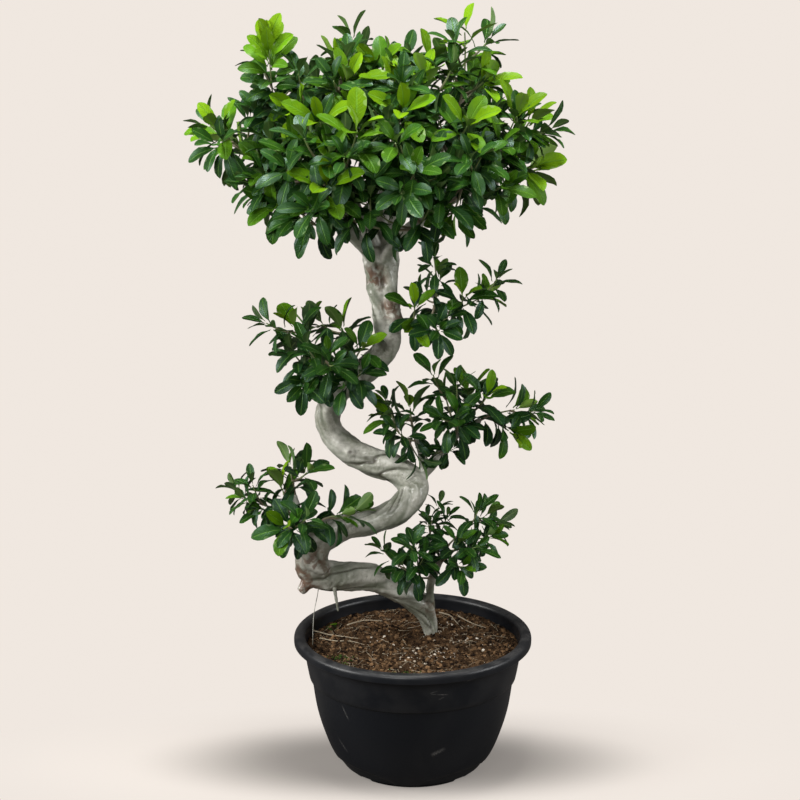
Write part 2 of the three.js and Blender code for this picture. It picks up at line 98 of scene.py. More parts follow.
@dataclass(frozen=True)
class Habit:
    """How the leaves of a shoot stand, counted from its tip back.

    The first, step and growth give their spacing in millimetres, and leafy how far back they go. The
    youngest leaf stands at so many degrees from the shoot and leaf number settled opens to a further
    opening. Each older leaf droops a little more, and ripe is the number of the first that is old. The
    leaves turn towards light as much as towards the shoot, or more where its vector is longer.
    """

    leafy: float = 62.0
    first: float = 1.5
    step: float = 2.6
    growth: float = 0.2
    youngest: float = 20.0
    opening: float = 66.0
    settled: float = 10.0
    droop: float = 0.034
    ripe: float = 13.0
    light: Point = (0.0, -0.4, 1.0)


ROSETTE = Habit()
PAD_ROSETTE = Habit(leafy=52.0, ripe=5.0)
SIDE_ROSETTE = Habit(leafy=37.0, droop=0.05, light=(0.0, 0.0, 1.0))
SPIRE = Habit(
    leafy=135.0, first=2.0, step=3.2, growth=0.01, youngest=6.0, opening=50.0, settled=18.0, droop=0.008,
    ripe=30.0, light=(0.0, -2.2, 0.6),
)
THIN_SPIRE = Habit(
    leafy=84.0, first=1.0, step=7.0, growth=0.2, opening=46.0, settled=2.0, droop=0.01, ripe=14.0
)


class Family(Enum):
    """Where on the tree a spray grows: the start of its node's name."""

    CROWN = "crown_spray"
    UPPER_RIGHT = "upper_right_spray"
    MID_LEFT = "mid_left_spray"
    MID_RIGHT = "mid_right_spray"
    LOW_LEFT = "low_left_spray"
    LOW_RIGHT = "low_right_spray"


@dataclass(frozen=True)
class Spray:
    """One leafy spray: how far along its limb it grows, and its shoot tips.

    The first tip is the leading shoot's, which has the habit; the others fork off it. leaf scales
    its leaves.
    """

    share: float
    tips: tuple[Point, ...]
    flush: Flush = Flush.GREEN
    leaf: float = 1.0
    habit: Habit = ROSETTE


@dataclass(frozen=True)
class Limb:
    """A limb: its path from inside the trunk to its end, its radius at both ends, and its sprays."""

    family: Family
    path: tuple[Point, ...]
    radii: tuple[float, float]
    sprays: tuple[Spray, ...]


PAD_LEAF = 0.89
LESSER_LEAF = 0.79
SMALL_LEAF = 0.56

LIMBS = {
    "crown_front_left": Limb(Family.CROWN, ((-49, 0, 768), (-92, -50, 822), (-145, -92, 872)), (11, 4.5), (
        Spray(1, ((-160, -150, 950), (-110, -190, 950))),
        Spray(0.8, ((-115, -195, 905), (-75, -195, 980)), Flush.BRIGHT),
        Spray(0.6, ((-165, -125, 860), (-145, -150, 865)), Flush.DEEP),
    )),
    "crown_left": Limb(Family.CROWN, ((-49, 0, 772), (-118, -6, 836), (-200, -22, 900)), (12, 4.5), (
        Spray(1, ((-268, -62, 965), (-240, 0, 930)), Flush.BRIGHT),
        Spray(0.9, ((-196, -95, 1080),), Flush.BRIGHT, 0.84, SPIRE),
        Spray(0.68, ((-205, -100, 920), (-190, -110, 870))),
        Spray(0.5, ((-215, 45, 875), (-210, 75, 915))),
    )),
    "crown_back_left": Limb(Family.CROWN, ((-49, 5, 768), (-100, 60, 822), (-160, 105, 872)), (11, 4.5), (
        Spray(1, ((-190, 110, 950), (-150, 150, 945))),
        Spray(0.7, ((-140, 150, 875), (-185, 120, 860)), Flush.DEEP),
    )),
    "crown_upper_left": Limb(Family.CROWN, ((-49, 0, 780), (-88, -26, 872), (-118, -48, 968)), (11, 4.5), (
        Spray(1, ((-155, -95, 995), (-90, -105, 1035)), Flush.BRIGHT),
        Spray(0.8, ((-125, -150, 985), (-105, -40, 1040)), Flush.BRIGHT),
        Spray(0.62, ((-145, 30, 1005), (-185, 55, 970))),
    )),
    "crown_top": Limb(Family.CROWN, ((-49, 5, 780), (-54, 14, 880), (-34, 10, 985)), (12, 4.5), (
        Spray(1, ((-50, -40, 1045), (-90, -20, 1045)), Flush.BRIGHT),
        Spray(0.82, ((-15, -150, 1000), (-30, -90, 1030)), Flush.BRIGHT),
        Spray(0.7, ((-90, 75, 1020), (-35, 65, 1040))),
        Spray(0.55, ((22, -15, 1055),), Flush.BRIGHT),
    )),
    "crown_upper_right": Limb(Family.CROWN, ((-49, 0, 780), (-4, -12, 868), (48, -38, 958)), (11, 4.5), (
        Spray(1, ((70, -30, 1095), (95, -60, 1030)), Flush.BRIGHT, habit=THIN_SPIRE),
        Spray(0.8, ((70, -150, 980), (15, -90, 1035)), Flush.BRIGHT),
        Spray(0.62, ((-25, -205, 965), (0, -205, 930))),
    )),
    "crown_right": Limb(Family.CROWN, ((-49, 0, 772), (22, -4, 838), (112, -20, 892)), (12, 4.5), (
        Spray(1, ((155, -55, 910), (160, 15, 895)), Flush.BRIGHT),
        Spray(0.8, ((140, -75, 985), (160, -50, 975)), Flush.BRIGHT),
        Spray(0.62, ((115, -110, 950), (120, -120, 895))),
    )),
    "crown_front_right": Limb(Family.CROWN, ((-49, 0, 768), (-8, -56, 826), (44, -104, 872)), (11, 4.5), (
        Spray(1, ((90, -150, 940), (55, -130, 865))),
        Spray(0.75, ((90, -90, 870), (35, -175, 900)), Flush.DEEP),
        Spray(0.5, ((20, -155, 870), (-45, -120, 855), (-95, -165, 865)), Flush.DEEP),
    )),
    "crown_back": Limb(Family.CROWN, ((-49, 5, 776), (-42, 66, 842), (-44, 122, 900)), (11, 4.5), (
        Spray(1, ((-50, 170, 965), (-100, 150, 965))),
        Spray(0.72, ((-5, 175, 905), (-70, 170, 885))),
        Spray(0.5, ((-30, 130, 845), (-85, 115, 840)), Flush.DEEP),
    )),
    "crown_back_right": Limb(Family.CROWN, ((-49, 5, 768), (16, 54, 828), (82, 104, 882)), (11, 4.5), (
        Spray(1, ((95, 140, 940), (55, 150, 965))),
        Spray(0.78, ((130, 100, 895), (75, 150, 880))),
        Spray(0.55, ((60, 65, 1020), (110, 70, 970))),
    )),
    "upper_right": Limb(Family.UPPER_RIGHT, ((-36, -10, 682), (2, -20, 684), (46, -26, 700)), (9, 4), (
        Spray(1, ((98, -12, 720), (70, -42, 726)), Flush.BRIGHT, LESSER_LEAF),
        Spray(0.75, ((37, -8, 746), (14, 8, 718)), Flush.GREEN, LESSER_LEAF),
        Spray(0.6, ((48, -52, 698), (36, -78, 686)), Flush.DEEP, LESSER_LEAF),
        Spray(0.42, ((2, -52, 714), (0, -42, 690)), Flush.BRIGHT, LESSER_LEAF),
    )),
    "mid_left": Limb(Family.MID_LEFT, ((-124, 20, 540), (-140, -8, 588), (-148, -28, 632)), (9, 4), (
        Spray(1, ((-168, -42, 682), (-150, 8, 672)), Flush.BRIGHT, PAD_LEAF),
        Spray(0.8, ((-172, -38, 646), (-155, -68, 606)), Flush.DEEP, PAD_LEAF),
        Spray(0.6, ((-120, -90, 654), (-132, -70, 625)), Flush.GREEN, PAD_LEAF),
    )),
    "mid_left_inner": Limb(Family.MID_LEFT, ((-84, 4, 592), (-84, -26, 604), (-84, -42, 628)), (7, 3.5), (
        Spray(1, ((-74, -62, 655), (-102, -14, 675)), Flush.BRIGHT, PAD_LEAF),
        Spray(0.7, ((-100, -80, 606), (-74, -80, 626)), Flush.DEEP, PAD_LEAF),
    )),
    "mid_right": Limb(
        Family.MID_RIGHT, ((0, -8, 440), (34, -8, 478), (62, -8, 515), (98, -10, 538)), (9, 4), (
            Spray(1, ((148, 2, 550), (138, -26, 526)), Flush.BRIGHT, PAD_LEAF),
            Spray(0.85, ((82, -14, 580), (106, -42, 582)), Flush.BRIGHT, PAD_LEAF),
            Spray(0.7, ((64, -70, 560), (46, -4, 576)), Flush.GREEN, PAD_LEAF),
            Spray(0.5, ((58, -32, 500), (30, -28, 494)), Flush.DEEP, SMALL_LEAF),
        ),
    ),
    "mid_right_inner": Limb(Family.MID_RIGHT, ((20, -6, 462), (10, -14, 496), (0, -20, 528)), (6, 3.5), (
        Spray(1, ((-4, -4, 554), (-32, -24, 546)), Flush.BRIGHT, PAD_LEAF),
        Spray(0.7, ((-24, -54, 534), (12, -30, 482)), Flush.DEEP, 0.7),
    )),
    "low_left": Limb(Family.LOW_LEFT, ((-145, -12, 345), (-166, -26, 392), (-172, -26, 430)), (10, 4), (
        Spray(1, ((-182, 10, 462), (-154, -36, 466)), Flush.GREEN, PAD_LEAF),
        Spray(0.8, ((-244, -28, 424), (-222, -40, 412)), Flush.GREEN, 0.7),
        Spray(0.55, ((-182, -82, 398), (-190, -30, 440)), Flush.BRIGHT, PAD_LEAF),
    )),
    "low_left_inner": Limb(
        Family.LOW_LEFT, ((-150, -10, 345), (-148, -36, 380), (-132, -50, 398)), (8, 3.5), (
            Spray(1, ((-108, -58, 408), (-84, -46, 408)), Flush.GREEN, PAD_LEAF),
            Spray(0.6, ((-158, -68, 408),), Flush.DEEP, PAD_LEAF),
        ),
    ),
    "side_stem": Limb(
        Family.LOW_RIGHT,
        ((28, 36, 160), (27, 30, 215), (26, 16, 265), (32, 2, 300), (46, -8, 335)), (10, 5), (
            Spray(1, ((106, 0, 388), (112, -22, 364)), Flush.GREEN, LESSER_LEAF),
            Spray(0.84, ((22, 8, 380), (50, 12, 382)), Flush.DEEP, SMALL_LEAF),
            Spray(0.9, ((66, -46, 362), (72, -66, 332)), Flush.GREEN, LESSER_LEAF),
            Spray(0.74, ((-14, -64, 332), (4, -46, 356)), Flush.DEEP, LESSER_LEAF),
        ),
    ),
}


# Lines and tubes


def unit(direction: np.ndarray) -> np.ndarray:
    """The direction at length 1."""
    return direction / np.linalg.norm(direction)


def turned(direction: np.ndarray, axis: np.ndarray, angle: float) -> np.ndarray:
    """A direction turned about a unit axis.

    Args:
        direction: What is turned.
        axis: Unit vector it turns about.
        angle: Radians, by the right-hand rule.

    Returns:
        The turned direction.
    """
    across = np.cross(axis, direction)
    along = axis * np.dot(axis, direction)
    return direction * math.cos(angle) + across * math.sin(angle) + along * (1 - math.cos(angle))


def sideways(axis: np.ndarray) -> np.ndarray:
    """A unit direction across a shoot."""
    return unit(np.cross(NEAR_UP, axis))


def vary(seed: float) -> float:
    """A number from 0 to 1 that jumps about with the seed and is the same on every run."""
    return (math.sin(seed * 127.1 + 31.7) * 43758.5453) % 1.0


class Line:
    """A smooth line in space, read at any share of its length, in metres."""

    SAMPLES = 24

    def __init__(self, samples: np.ndarray) -> None:
        """Keeps the samples and how far along the line each one is.

        Args:
            samples: Places on the line in order, one a row.
        """
        self.samples = samples
        steps = np.linalg.norm(np.diff(samples, axis=0), axis=1)
        self.reach = np.concatenate([[0.0], np.cumsum(steps)])
        self.length = float(self.reach[-1])

    @classmethod
    def through(cls, points: Sequence[Point]) -> "Line":
        """A line through points in millimetres, with no loops or overshoot between them.

        Args:
            points: Places the line passes, in order.

        Returns:
            The centripetal spline through them.
        """
        knots = np.array([point[:3] for point in points], float) * MM
        knots = np.vstack([2 * knots[0] - knots[1], knots, 2 * knots[-1] - knots[-2]])
        pieces = [cls._span(knots[i : i + 4]) for i in range(len(knots) - 3)]
        return cls(np.vstack([*pieces, knots[-2]]))

    @classmethod
    def _span(cls, knots: np.ndarray) -> np.ndarray:
        """The samples of one span of the spline.

        Args:
            knots: The knot before the span, its two ends, and the knot after it.

        Returns:
            Places from its start up to its end, one a row.
        """
        a, b, c, d = knots
        ab, bc, cd = (math.sqrt(np.linalg.norm(q - p)) for p, q in ((a, b), (b, c), (c, d)))
        leave = ((b - a) / ab - (c - a) / (ab + bc) + (c - b) / bc) * bc
        arrive = ((c - b) / bc - (d - b) / (bc + cd) + (d - c) / cd) * bc
        w = np.linspace(0, 1, cls.SAMPLES, endpoint=False)[:, None]
        cubic = 2 * (b - c) + leave + arrive
        square = 3 * (c - b) - 2 * leave - arrive
        return b + leave * w + square * w**2 + cubic * w**3

    @classmethod
    def bent(cls, start: np.ndarray, bend: np.ndarray, tip: np.ndarray) -> "Line":
        """A single bow from start to tip, drawn towards bend, all in metres."""
        w = np.linspace(0, 1, cls.SAMPLES)[:, None]
        return cls(start * (1 - w) ** 2 + 2 * bend * w * (1 - w) + tip * w**2)

    def point(self, share: float | np.ndarray) -> np.ndarray:
        """The place at a share of the length, from 0 to 1, or one row a share."""
        reach = np.asarray(share) * self.length
        return np.stack([np.interp(reach, self.reach, self.samples[:, i]) for i in range(3)], -1)

    def tangent(self, share: float) -> np.ndarray:
        """Unit direction of the line at a share of its length."""
        return unit(self.point(min(share + 0.01, 1.0)) - self.point(max(share - 0.01, 0.0)))


@dataclass
class Patch:
    """Vertices and faces of one closed surface, with a number of each name at every vertex."""

    points: np.ndarray
    faces: Faces
    finish: int | list[int] = 0
    values: dict[str, np.ndarray] = field(default_factory=dict)


class Draft:
    """Collects patches into one mesh object."""

    def __init__(self, name: str, finishes: Sequence[Material]) -> None:
        """Starts an empty mesh.

        Args:
            name: The object's name.
            finishes: The materials that its patches name by number.
        """
        self.name = name
        self.finishes = finishes
        self.points: list[np.ndarray] = []
        self.faces: Faces = []
        self.slots: list[int] = []
        self.values: dict[str, list[np.ndarray]] = {}
        self.count = 0

    def add(self, patch: Patch) -> "Draft":
        """Adds one patch, with 0 for each value that it doesn't have.

        Args:
            patch: What is added.

        Returns:
            The draft itself.
        """
        self.faces += [tuple(i + self.count for i in face) for face in patch.faces]
        same = isinstance(patch.finish, int)
        self.slots += [patch.finish] * len(patch.faces) if same else patch.finish
        for name, numbers in patch.values.items():
            self.values.setdefault(name, [np.zeros(self.count)]).append(numbers)
        for name in self.values.keys() - patch.values.keys():
            self.values[name].append(np.zeros(len(patch.points)))
        self.points.append(patch.points)
        self.count += len(patch.points)
        return self

    def build(self, sharp: float | None = None) -> Object:
        """Makes the object.

        Args:
            sharp: Edges that bend by more than this many radians are shaded as creases.

        Returns:
            The new object, linked to the scene.
        """
        mesh = bpy.data.meshes.new(self.name)
        mesh.from_pydata(np.vstack(self.points).tolist(), [], self.faces)
        for finish in self.finishes:
            mesh.materials.append(finish)
        mesh.polygons.foreach_set("material_index", self.slots)
        keep_values(mesh, {name: np.concatenate(columns) for name, columns in self.values.items()})
        if sharp is not None:
            mesh.set_sharp_from_angle(angle=sharp)
        mesh.update()
        return placed(mesh, self.name)


def keep_values(mesh: Mesh, values: dict[str, np.ndarray]) -> None:
    """Shades a mesh smooth and keeps numbers at its vertices for its materials.

    Args:
        mesh: The mesh.
        values: The numbers by name, one a vertex.
    """
    for name, numbers in values.items():
        layer = mesh.attributes.new(name, "FLOAT", "POINT")
        layer.data.foreach_set("value", numbers.astype(np.float32))
    mesh.polygons.foreach_set("use_smooth", [True] * len(mesh.polygons))


def placed(data: bpy.types.ID, name: str) -> Object:
    """Links a new object to the scene.

    Args:
        data: Its mesh, camera or light.
        name: Its name.

    Returns:
        The object.
    """
    piece = bpy.data.objects.new(name, data)
    bpy.context.scene.collection.objects.link(piece)
    return piece


def evaluated(piece: Object) -> Mesh:
    """Applies an object's modifiers and removes the object.

    Args:
        piece: The object.

    Returns:
        The mesh that its modifiers make.
    """
    graph = bpy.context.evaluated_depsgraph_get()
    mesh = bpy.data.meshes.new_from_object(piece.evaluated_get(graph))
    bpy.data.objects.remove(piece)
    return mesh


def declare(piece: Object, slot: str, *nodes: str) -> None:
    """Says that a piece rides with the plant and stands for CAD nodes, which are hidden.

    Args:
        piece: The piece.
        slot: The record's material slot; not used.
        nodes: The CAD nodes that it replaces, if any.
    """
    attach(piece, "root")
    if nodes:
        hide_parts(*nodes)
    log.info("%s: %d faces", piece.name, len(piece.data.polygons))


def ring_angles(sides: int) -> np.ndarray:
    """Angles of the vertices of a ring, in radians."""
    return np.linspace(0, 2 * math.pi, sides, endpoint=False)


def bands(rings: int, sides: int) -> Faces:
    """Faces between rings of vertices that lie one after another.

    Args:
        rings: How many rings there are.
        sides: Vertices in a ring.

    Returns:
        Four-sided faces. They look outward where the rings turn by the right-hand rule about their order.
    """
    faces = []
    for ring in range(rings - 1):
        for i in range(sides):
            a, b = ring * sides + i, ring * sides + (i + 1) % sides
            faces.append((a, b, b + sides, a + sides))
    return faces


def skin_over(rings: int, sides: int) -> Faces:
    """Faces of a closed skin over rings of vertices.

    Args:
        rings: How many rings there are.
        sides: Vertices in a ring.

    Returns:
        The faces. They need two more vertices after the rings' own, in the middle of each end.
    """
    faces = bands(rings, sides)
    first, last = rings * sides, rings * sides + 1
    for i in range(sides):
        j = (i + 1) % sides
        faces.append((first, j, i))
        faces.append((last, first - sides + i, first - sides + j))
    return faces


def tube(
    line: Line,
    rings: int,
    sides: int,
    radius: Callable[[float], float] | Callable[[float], np.ndarray],
    finish: int = 0,
    values: dict[str, Callable[[float], float]] | None = None,
) -> Patch:
    """A closed tube along a line.

    Args:
        line: Its centreline.
        rings: How many rings of vertices it has.
        sides: Vertices in a ring.
        radius: The radius at a share of the length, in metres: one number, or one for each side.
        finish: Number of its material.
        values: Numbers to keep at the vertices, as functions of the share.

    Returns:
        The tube, with a fan over each end.
    """
    shares = np.linspace(0, 1, rings)
    angles = ring_angles(sides)
    side = unit(np.cross(line.tangent(0), OFF_AXIS))
    points = []
    for share in shares:
        along = line.tangent(share)
        side = unit(side - along * np.dot(side, along))
        over = np.cross(along, side)
        outward = np.cos(angles)[:, None] * side + np.sin(angles)[:, None] * over
        points.append(line.point(share) + outward * np.reshape(radius(share), (-1, 1)))
    ends = [line.point(0.0), line.point(1.0)]
    held = {
        name: np.concatenate([np.repeat([read(s) for s in shares], sides), [read(0.0), read(1.0)]])
        for name, read in (values or {}).items()
    }
    return Patch(np.vstack([*points, *ends]), skin_over(rings, sides), finish, held)


def solid_of_revolution(outline: Sequence[Point], sides: int) -> Patch:
    """A closed outline turned about the Z axis.

    Args:
        outline: Corners as radius and height in millimetres; the first and last are on the axis.
        sides: Steps round the axis.

    Returns:
        The closed surface.
    """
    angles = ring_angles(sides)
    rings = [
        np.stack([r * np.cos(angles), r * np.sin(angles), np.full(sides, z)], -1) * MM
        for r, z in outline[1:-1]
    ]
    ends = [np.array([0.0, 0.0, outline[k][1] * MM]) for k in (0, -1)]
    return Patch(np.vstack([*rings, *ends]), skin_over(len(rings), sides))


# Materials


class Graph:
    """A node tree written one call a node: a socket given as an input is linked, a value is set."""

    def __init__(self, tree: bpy.types.NodeTree) -> None:
        """Works on this tree."""
        self.tree = tree

    def add(self, kind: str, inputs: dict | None = None, **settings: object) -> Node:
        """Adds a node.

        Args:
            kind: The node's Blender type, without the ShaderNode at its front.
            inputs: Sockets or values by the input's name or number.
            settings: Attributes to set on the node first.

        Returns:
            The node.
        """
        node = self.tree.nodes.new("ShaderNode" + kind)
        for name, value in settings.items():
            setattr(node, name, value)
        for name, value in (inputs or {}).items():
            self.feed(node.inputs[name], value)
        return node

    def feed(self, socket: Socket, value: object) -> None:
        """Gives an input its value.

        Args:
            socket: The input.
            value: A socket, which is linked, or a number, vector or colour, which is set.
        """
        if isinstance(value, Socket):
            self.tree.links.new(value, socket)
        else:
            socket.default_value = (*value, 1.0) if socket.type == "RGBA" else value

    def math(self, operation: str, *values: object, clamp: bool = False) -> Socket:
        """The result of a Math node with these operands."""
        inputs = dict(enumerate(values))
        return self.add("Math", inputs, operation=operation, use_clamp=clamp).outputs[0]

    def times(self, first: object, second: object, clamp: bool = False) -> Socket:
        """The product of two values."""
        return self.math("MULTIPLY", first, second, clamp=clamp)

    def plus(self, first: object, second: object) -> Socket:
        """The sum of two values."""
        return self.math("ADD", first, second)

    def minus(self, first: object, second: object, clamp: bool = False) -> Socket:
        """The first value less the second."""
        return self.math("SUBTRACT", first, second, clamp=clamp)

    def greater(self, first: object, second: object) -> Socket:
        """The greater of two values."""
        return self.math("MAXIMUM", first, second)

    def mix(self, share: object, first: object, second: object) -> Socket:
        """A mix of two colours, with this share of the second, from 0 to 1."""
        return self.add("Mix", {0: share, 6: first, 7: second}, data_type="RGBA").outputs[2]

    def noise(self, scale: object, detail: float = 3.0, vector: object = None, **more: float) -> Socket:
        """A noise texture.

        Args:
            scale: How many of its hills lie in a metre.
            detail: How many finer noises are added to it.
            vector: Where it is read; left out, on the object.
            more: Its other inputs, with _ for a space.

        Returns:
            Its value.
        """
        inputs = {"Vector": self.here() if vector is None else vector, "Scale": scale, "Detail": detail}
        inputs |= {name.replace("_", " "): value for name, value in more.items()}
        return self.add("TexNoise", inputs).outputs["Fac"]

    def remap(self, value: object, low: float, high: float, to: Point = (0.0, 1.0)) -> Socket:
        """A value's share of the way from low to high, smoothed and clamped, then scaled."""
        inputs = {0: value, 1: low, 2: high, 3: to[0], 4: to[1]}
        return self.add("MapRange", inputs, interpolation_type="SMOOTHSTEP").outputs[0]

    def ramp(self, value: object, stops: Sequence[tuple[float, Colour]]) -> Socket:
        """A colour ramp.

        Args:
            value: Where it is read, from 0 to 1.
            stops: Places and colours.

        Returns:
            The colour at the value.
        """
        node = self.add("ValToRGB", {0: value})
        elements = node.color_ramp.elements
        while len(elements) < len(stops):
            elements.new(0.5)
        for element, (place, colour) in zip(elements, stops, strict=True):
            element.position = place
            element.color = (*colour, 1.0)
        return node.outputs[0]

    def attribute(self, name: str) -> Socket:
        """A number that the mesh keeps at its vertices."""
        return self.add("Attribute", {}, attribute_name=name).outputs["Fac"]

    def here(self) -> Socket:
        """The place on the object, in metres."""
        return self.add("TexCoord").outputs["Object"]

    def upward(self) -> Socket:
        """How far the surface looks up, from -1 to 1."""
        return self.add("SeparateXYZ", {0: self.add("NewGeometry").outputs["Normal"]}).outputs["Z"]


class Effect:
    """A shader node group with named inputs and outputs, built once and placed many times."""

    def __init__(self, name: str, inputs: dict[str, object], outputs: Sequence[str]) -> None:
        """Makes the group's sockets.

        Args:
            name: The group's name.
            inputs: Its inputs' defaults by name: a tuple makes a vector, a number makes a number.
            outputs: Its outputs' names; each is a number.
        """
        self.tree = bpy.data.node_groups.new(name, "ShaderNodeTree")
        for label, default in inputs.items():
            vector = isinstance(default, tuple)
            kind = "NodeSocketVector" if vector else "NodeSocketFloat"
            socket = self.tree.interface.new_socket(label, in_out="INPUT", socket_type=kind)
            socket.default_value = default
        for label in outputs:
            self.tree.interface.new_socket(label, in_out="OUTPUT", socket_type="NodeSocketFloat")
        self.graph = Graph(self.tree)
        self.inputs = self.tree.nodes.new("NodeGroupInput").outputs
        self.outputs = self.tree.nodes.new("NodeGroupOutput").inputs

    def give(self, label: str, value: Socket) -> None:
        """Links a value to one of the group's outputs."""
        self.tree.links.new(value, self.outputs[label])

    def place(self, graph: Graph, **inputs: object) -> bpy.types.bpy_prop_collection:
        """Places the group in a material.

        Args:
            graph: The material's graph.
            inputs: Values or sockets for its inputs, with _ for a space.

        Returns:
            Its outputs.
        """
        node = graph.tree.nodes.new("ShaderNodeGroup")
        node.node_tree = self.tree
        for name, value in inputs.items():
            graph.feed(node.inputs[name.replace("_", " ")], value)
        return node.outputs


def grain_effect() -> Effect:
    """Uneven surface grain: a coarse and a fine noise in one mask.

    Returns:
        The effect, whose output is its mask.
    """
    effect = Effect("surface grain", {"Coarse": 20.0, "Fine": 200.0, "Fine Share": 0.4}, ("Mask",))
    graph, given = effect.graph, effect.inputs
    here = graph.here()
    coarse = graph.noise(given["Coarse"], 4.0, here)
    fine = graph.noise(given["Fine"], 3.0, here)
    effect.give("Mask", graph.add("Mix", {0: given["Fine Share"], 2: coarse, 3: fine}).outputs[0])
    return effect


def dust_effect() -> Effect:
    """Dust and dried splashes that settle on faces that look up.

    Returns:
        The effect, whose output is its mask.
    """
    effect = Effect("settled dust", {"Amount": 0.5, "Scale": 60.0}, ("Mask",))
    graph, given = effect.graph, effect.inputs
    facing = graph.remap(graph.upward(), 0.35, 0.95)
    broken = graph.remap(graph.noise(given["Scale"], 6.0), 0.36, 0.62)
    spread = graph.times(graph.plus(broken, 0.35), given["Amount"])
    effect.give("Mask", graph.times(facing, spread, clamp=True))
    return effect


def scuff_effect() -> Effect:
    """A short rubbed mark: a soft streak at a place, broken up by fine noise.

    Returns:
        The effect, whose output is its mask.
    """
    inputs = {"Place": (0.0, 0.0, 0.0), "Along": (1.0, 0.0, 0.0), "Length": 0.02, "Width": 0.001}
    effect = Effect("scuff mark", inputs, ("Mask",))
    graph, given = effect.graph, effect.inputs
    here = graph.here()
    off = graph.add("VectorMath", {0: here, 1: given["Place"]}, operation="SUBTRACT").outputs[0]
    along = graph.add("VectorMath", {0: off, 1: given["Along"]}, operation="DOT_PRODUCT").outputs["Value"]
    distance = graph.add("VectorMath", {0: off}, operation="LENGTH").outputs["Value"]
    squared = graph.minus(graph.math("POWER", distance, 2.0), graph.math("POWER", along, 2.0))
    aside = graph.math("SQRT", graph.greater(squared, 0.0))
    near = graph.minus(1.0, graph.math("DIVIDE", aside, given["Width"]), clamp=True)
    reach = graph.math("DIVIDE", graph.math("ABSOLUTE", along), given["Length"])
    inside = graph.minus(1.0, graph.math("POWER", reach, 3.0), clamp=True)
    worn = graph.remap(graph.noise(700.0, 4.0, here), 0.35, 0.6)
    effect.give("Mask", graph.times(graph.times(near, inside), worn, clamp=True))
    return effect


@dataclass(frozen=True)
class Effects:
    """The effects that the materials share."""

    grain: Effect = field(default_factory=grain_effect)
    dust: Effect = field(default_factory=dust_effect)
    scuff: Effect = field(default_factory=scuff_effect)


def new_material(name: str, colour: Colour, roughness: float) -> tuple[Material, Graph, Node]:
    """Starts a material.

    Args:
        name: Its name.
        colour: Its colour until one is linked, and in the viewport.
        roughness: Its roughness until one is linked.

    Returns:
        The material, its graph and its Principled shader.
    """
    material = bpy.data.materials.new(name)
    material.use_nodes = True
    material.diffuse_color = (*colour, 1.0)
    shader = material.node_tree.nodes["Principled BSDF"]
    shader.inputs["Base Color"].default_value = (*colour, 1.0)
    shader.inputs["Roughness"].default_value = roughness
    return material, Graph(material.node_tree), shader


def finish_with(
    graph: Graph,
    shader: Node,
    colour: Socket,
    roughness: Socket | None = None,
    height: Socket | None = None,
    relief: float = 0.001,
) -> None:
    """Links a shader's colour, roughness and bump.

    Args:
        graph: The material's graph.
        shader: Its Principled shader.
        colour: The base colour.
        roughness: The roughness, where it varies.
        height: Height of the relief, from 0 to 1.
        relief: How deep the relief is, in metres.
    """
    graph.feed(shader.inputs["Base Color"], colour)
    if roughness is not None:
        graph.feed(shader.inputs["Roughness"], roughness)
    if height is not None:
        bump = graph.add("Bump", {"Strength": 1.0, "Distance": relief, "Height": height})
        graph.feed(shader.inputs["Normal"], bump.outputs[0])


@dataclass(frozen=True)
class LeafFinish:
    """The glossy upper face of a leaf, from its young yellow-green to its old deep green."""

    fresh: Colour = (0.150, 0.282, 0.005)
    young: Colour = (0.078, 0.190, 0.005)
    grown: Colour = (0.020, 0.076, 0.004)
    old: Colour = (0.007, 0.034, 0.006)
    rib: Colour = (0.130, 0.290, 0.035)
    roughness: float = 0.36
    young_gloss: float = 0.06
    old_gloss: float = 0.40
    sheen: Colour = (0.72, 1.0, 0.95)
    mottle_scale: float = 90.0
    rib_edge: float = 0.14
    vein_pitch: float = 62.0
    vein_slant: float = 0.22
    relief: float = 0.0005

    def material(self) -> Material:
        """Builds the material.

        Returns:
            The material.
        """
        material, graph, shader = new_material("leaf upper face", self.grown, self.roughness)
        age = graph.attribute("leaf_age")
        tone = graph.attribute("leaf_tone")
        mottle = graph.noise(self.mottle_scale)
        shade = graph.plus(age, graph.times(graph.minus(mottle, 0.5), 0.35))
        ages = ((0.0, self.fresh), (0.3, self.young), (0.62, self.grown), (1.0, self.old))
        blade = graph.ramp(shade, ages)
        strength = graph.plus(0.78, graph.times(tone, 0.5))
        blade = graph.add("HueSaturation", {"Hue": 0.5, "Value": strength, "Color": blade}).outputs[0]
        across = graph.math("ABSOLUTE", graph.attribute("leaf_across"))
        rib = graph.remap(across, self.rib_edge, 0.02)
        slant = graph.minus(graph.attribute("leaf_along"), graph.times(across, self.vein_slant))
        wave = graph.math("SINE", graph.times(slant, self.vein_pitch))
        veins = graph.times(graph.remap(wave, 0.55, 1.0), graph.remap(across, 1.0, 0.5))
        pale = graph.plus(graph.times(rib, 0.5), graph.times(veins, 0.12))
        colour = graph.mix(pale, blade, self.rib)
        relief = graph.minus(0.6, graph.plus(rib, graph.times(veins, 0.5)))
        rough = graph.plus(self.roughness - 0.06, graph.times(mottle, 0.14))
        finish_with(graph, shader, colour, rough, relief, self.relief)
        gloss = graph.remap(age, 0.25, 1.0, (self.young_gloss, self.old_gloss))
        graph.feed(shader.inputs["Specular IOR Level"], gloss)
        graph.feed(shader.inputs["Specular Tint"], self.sheen)
        return material


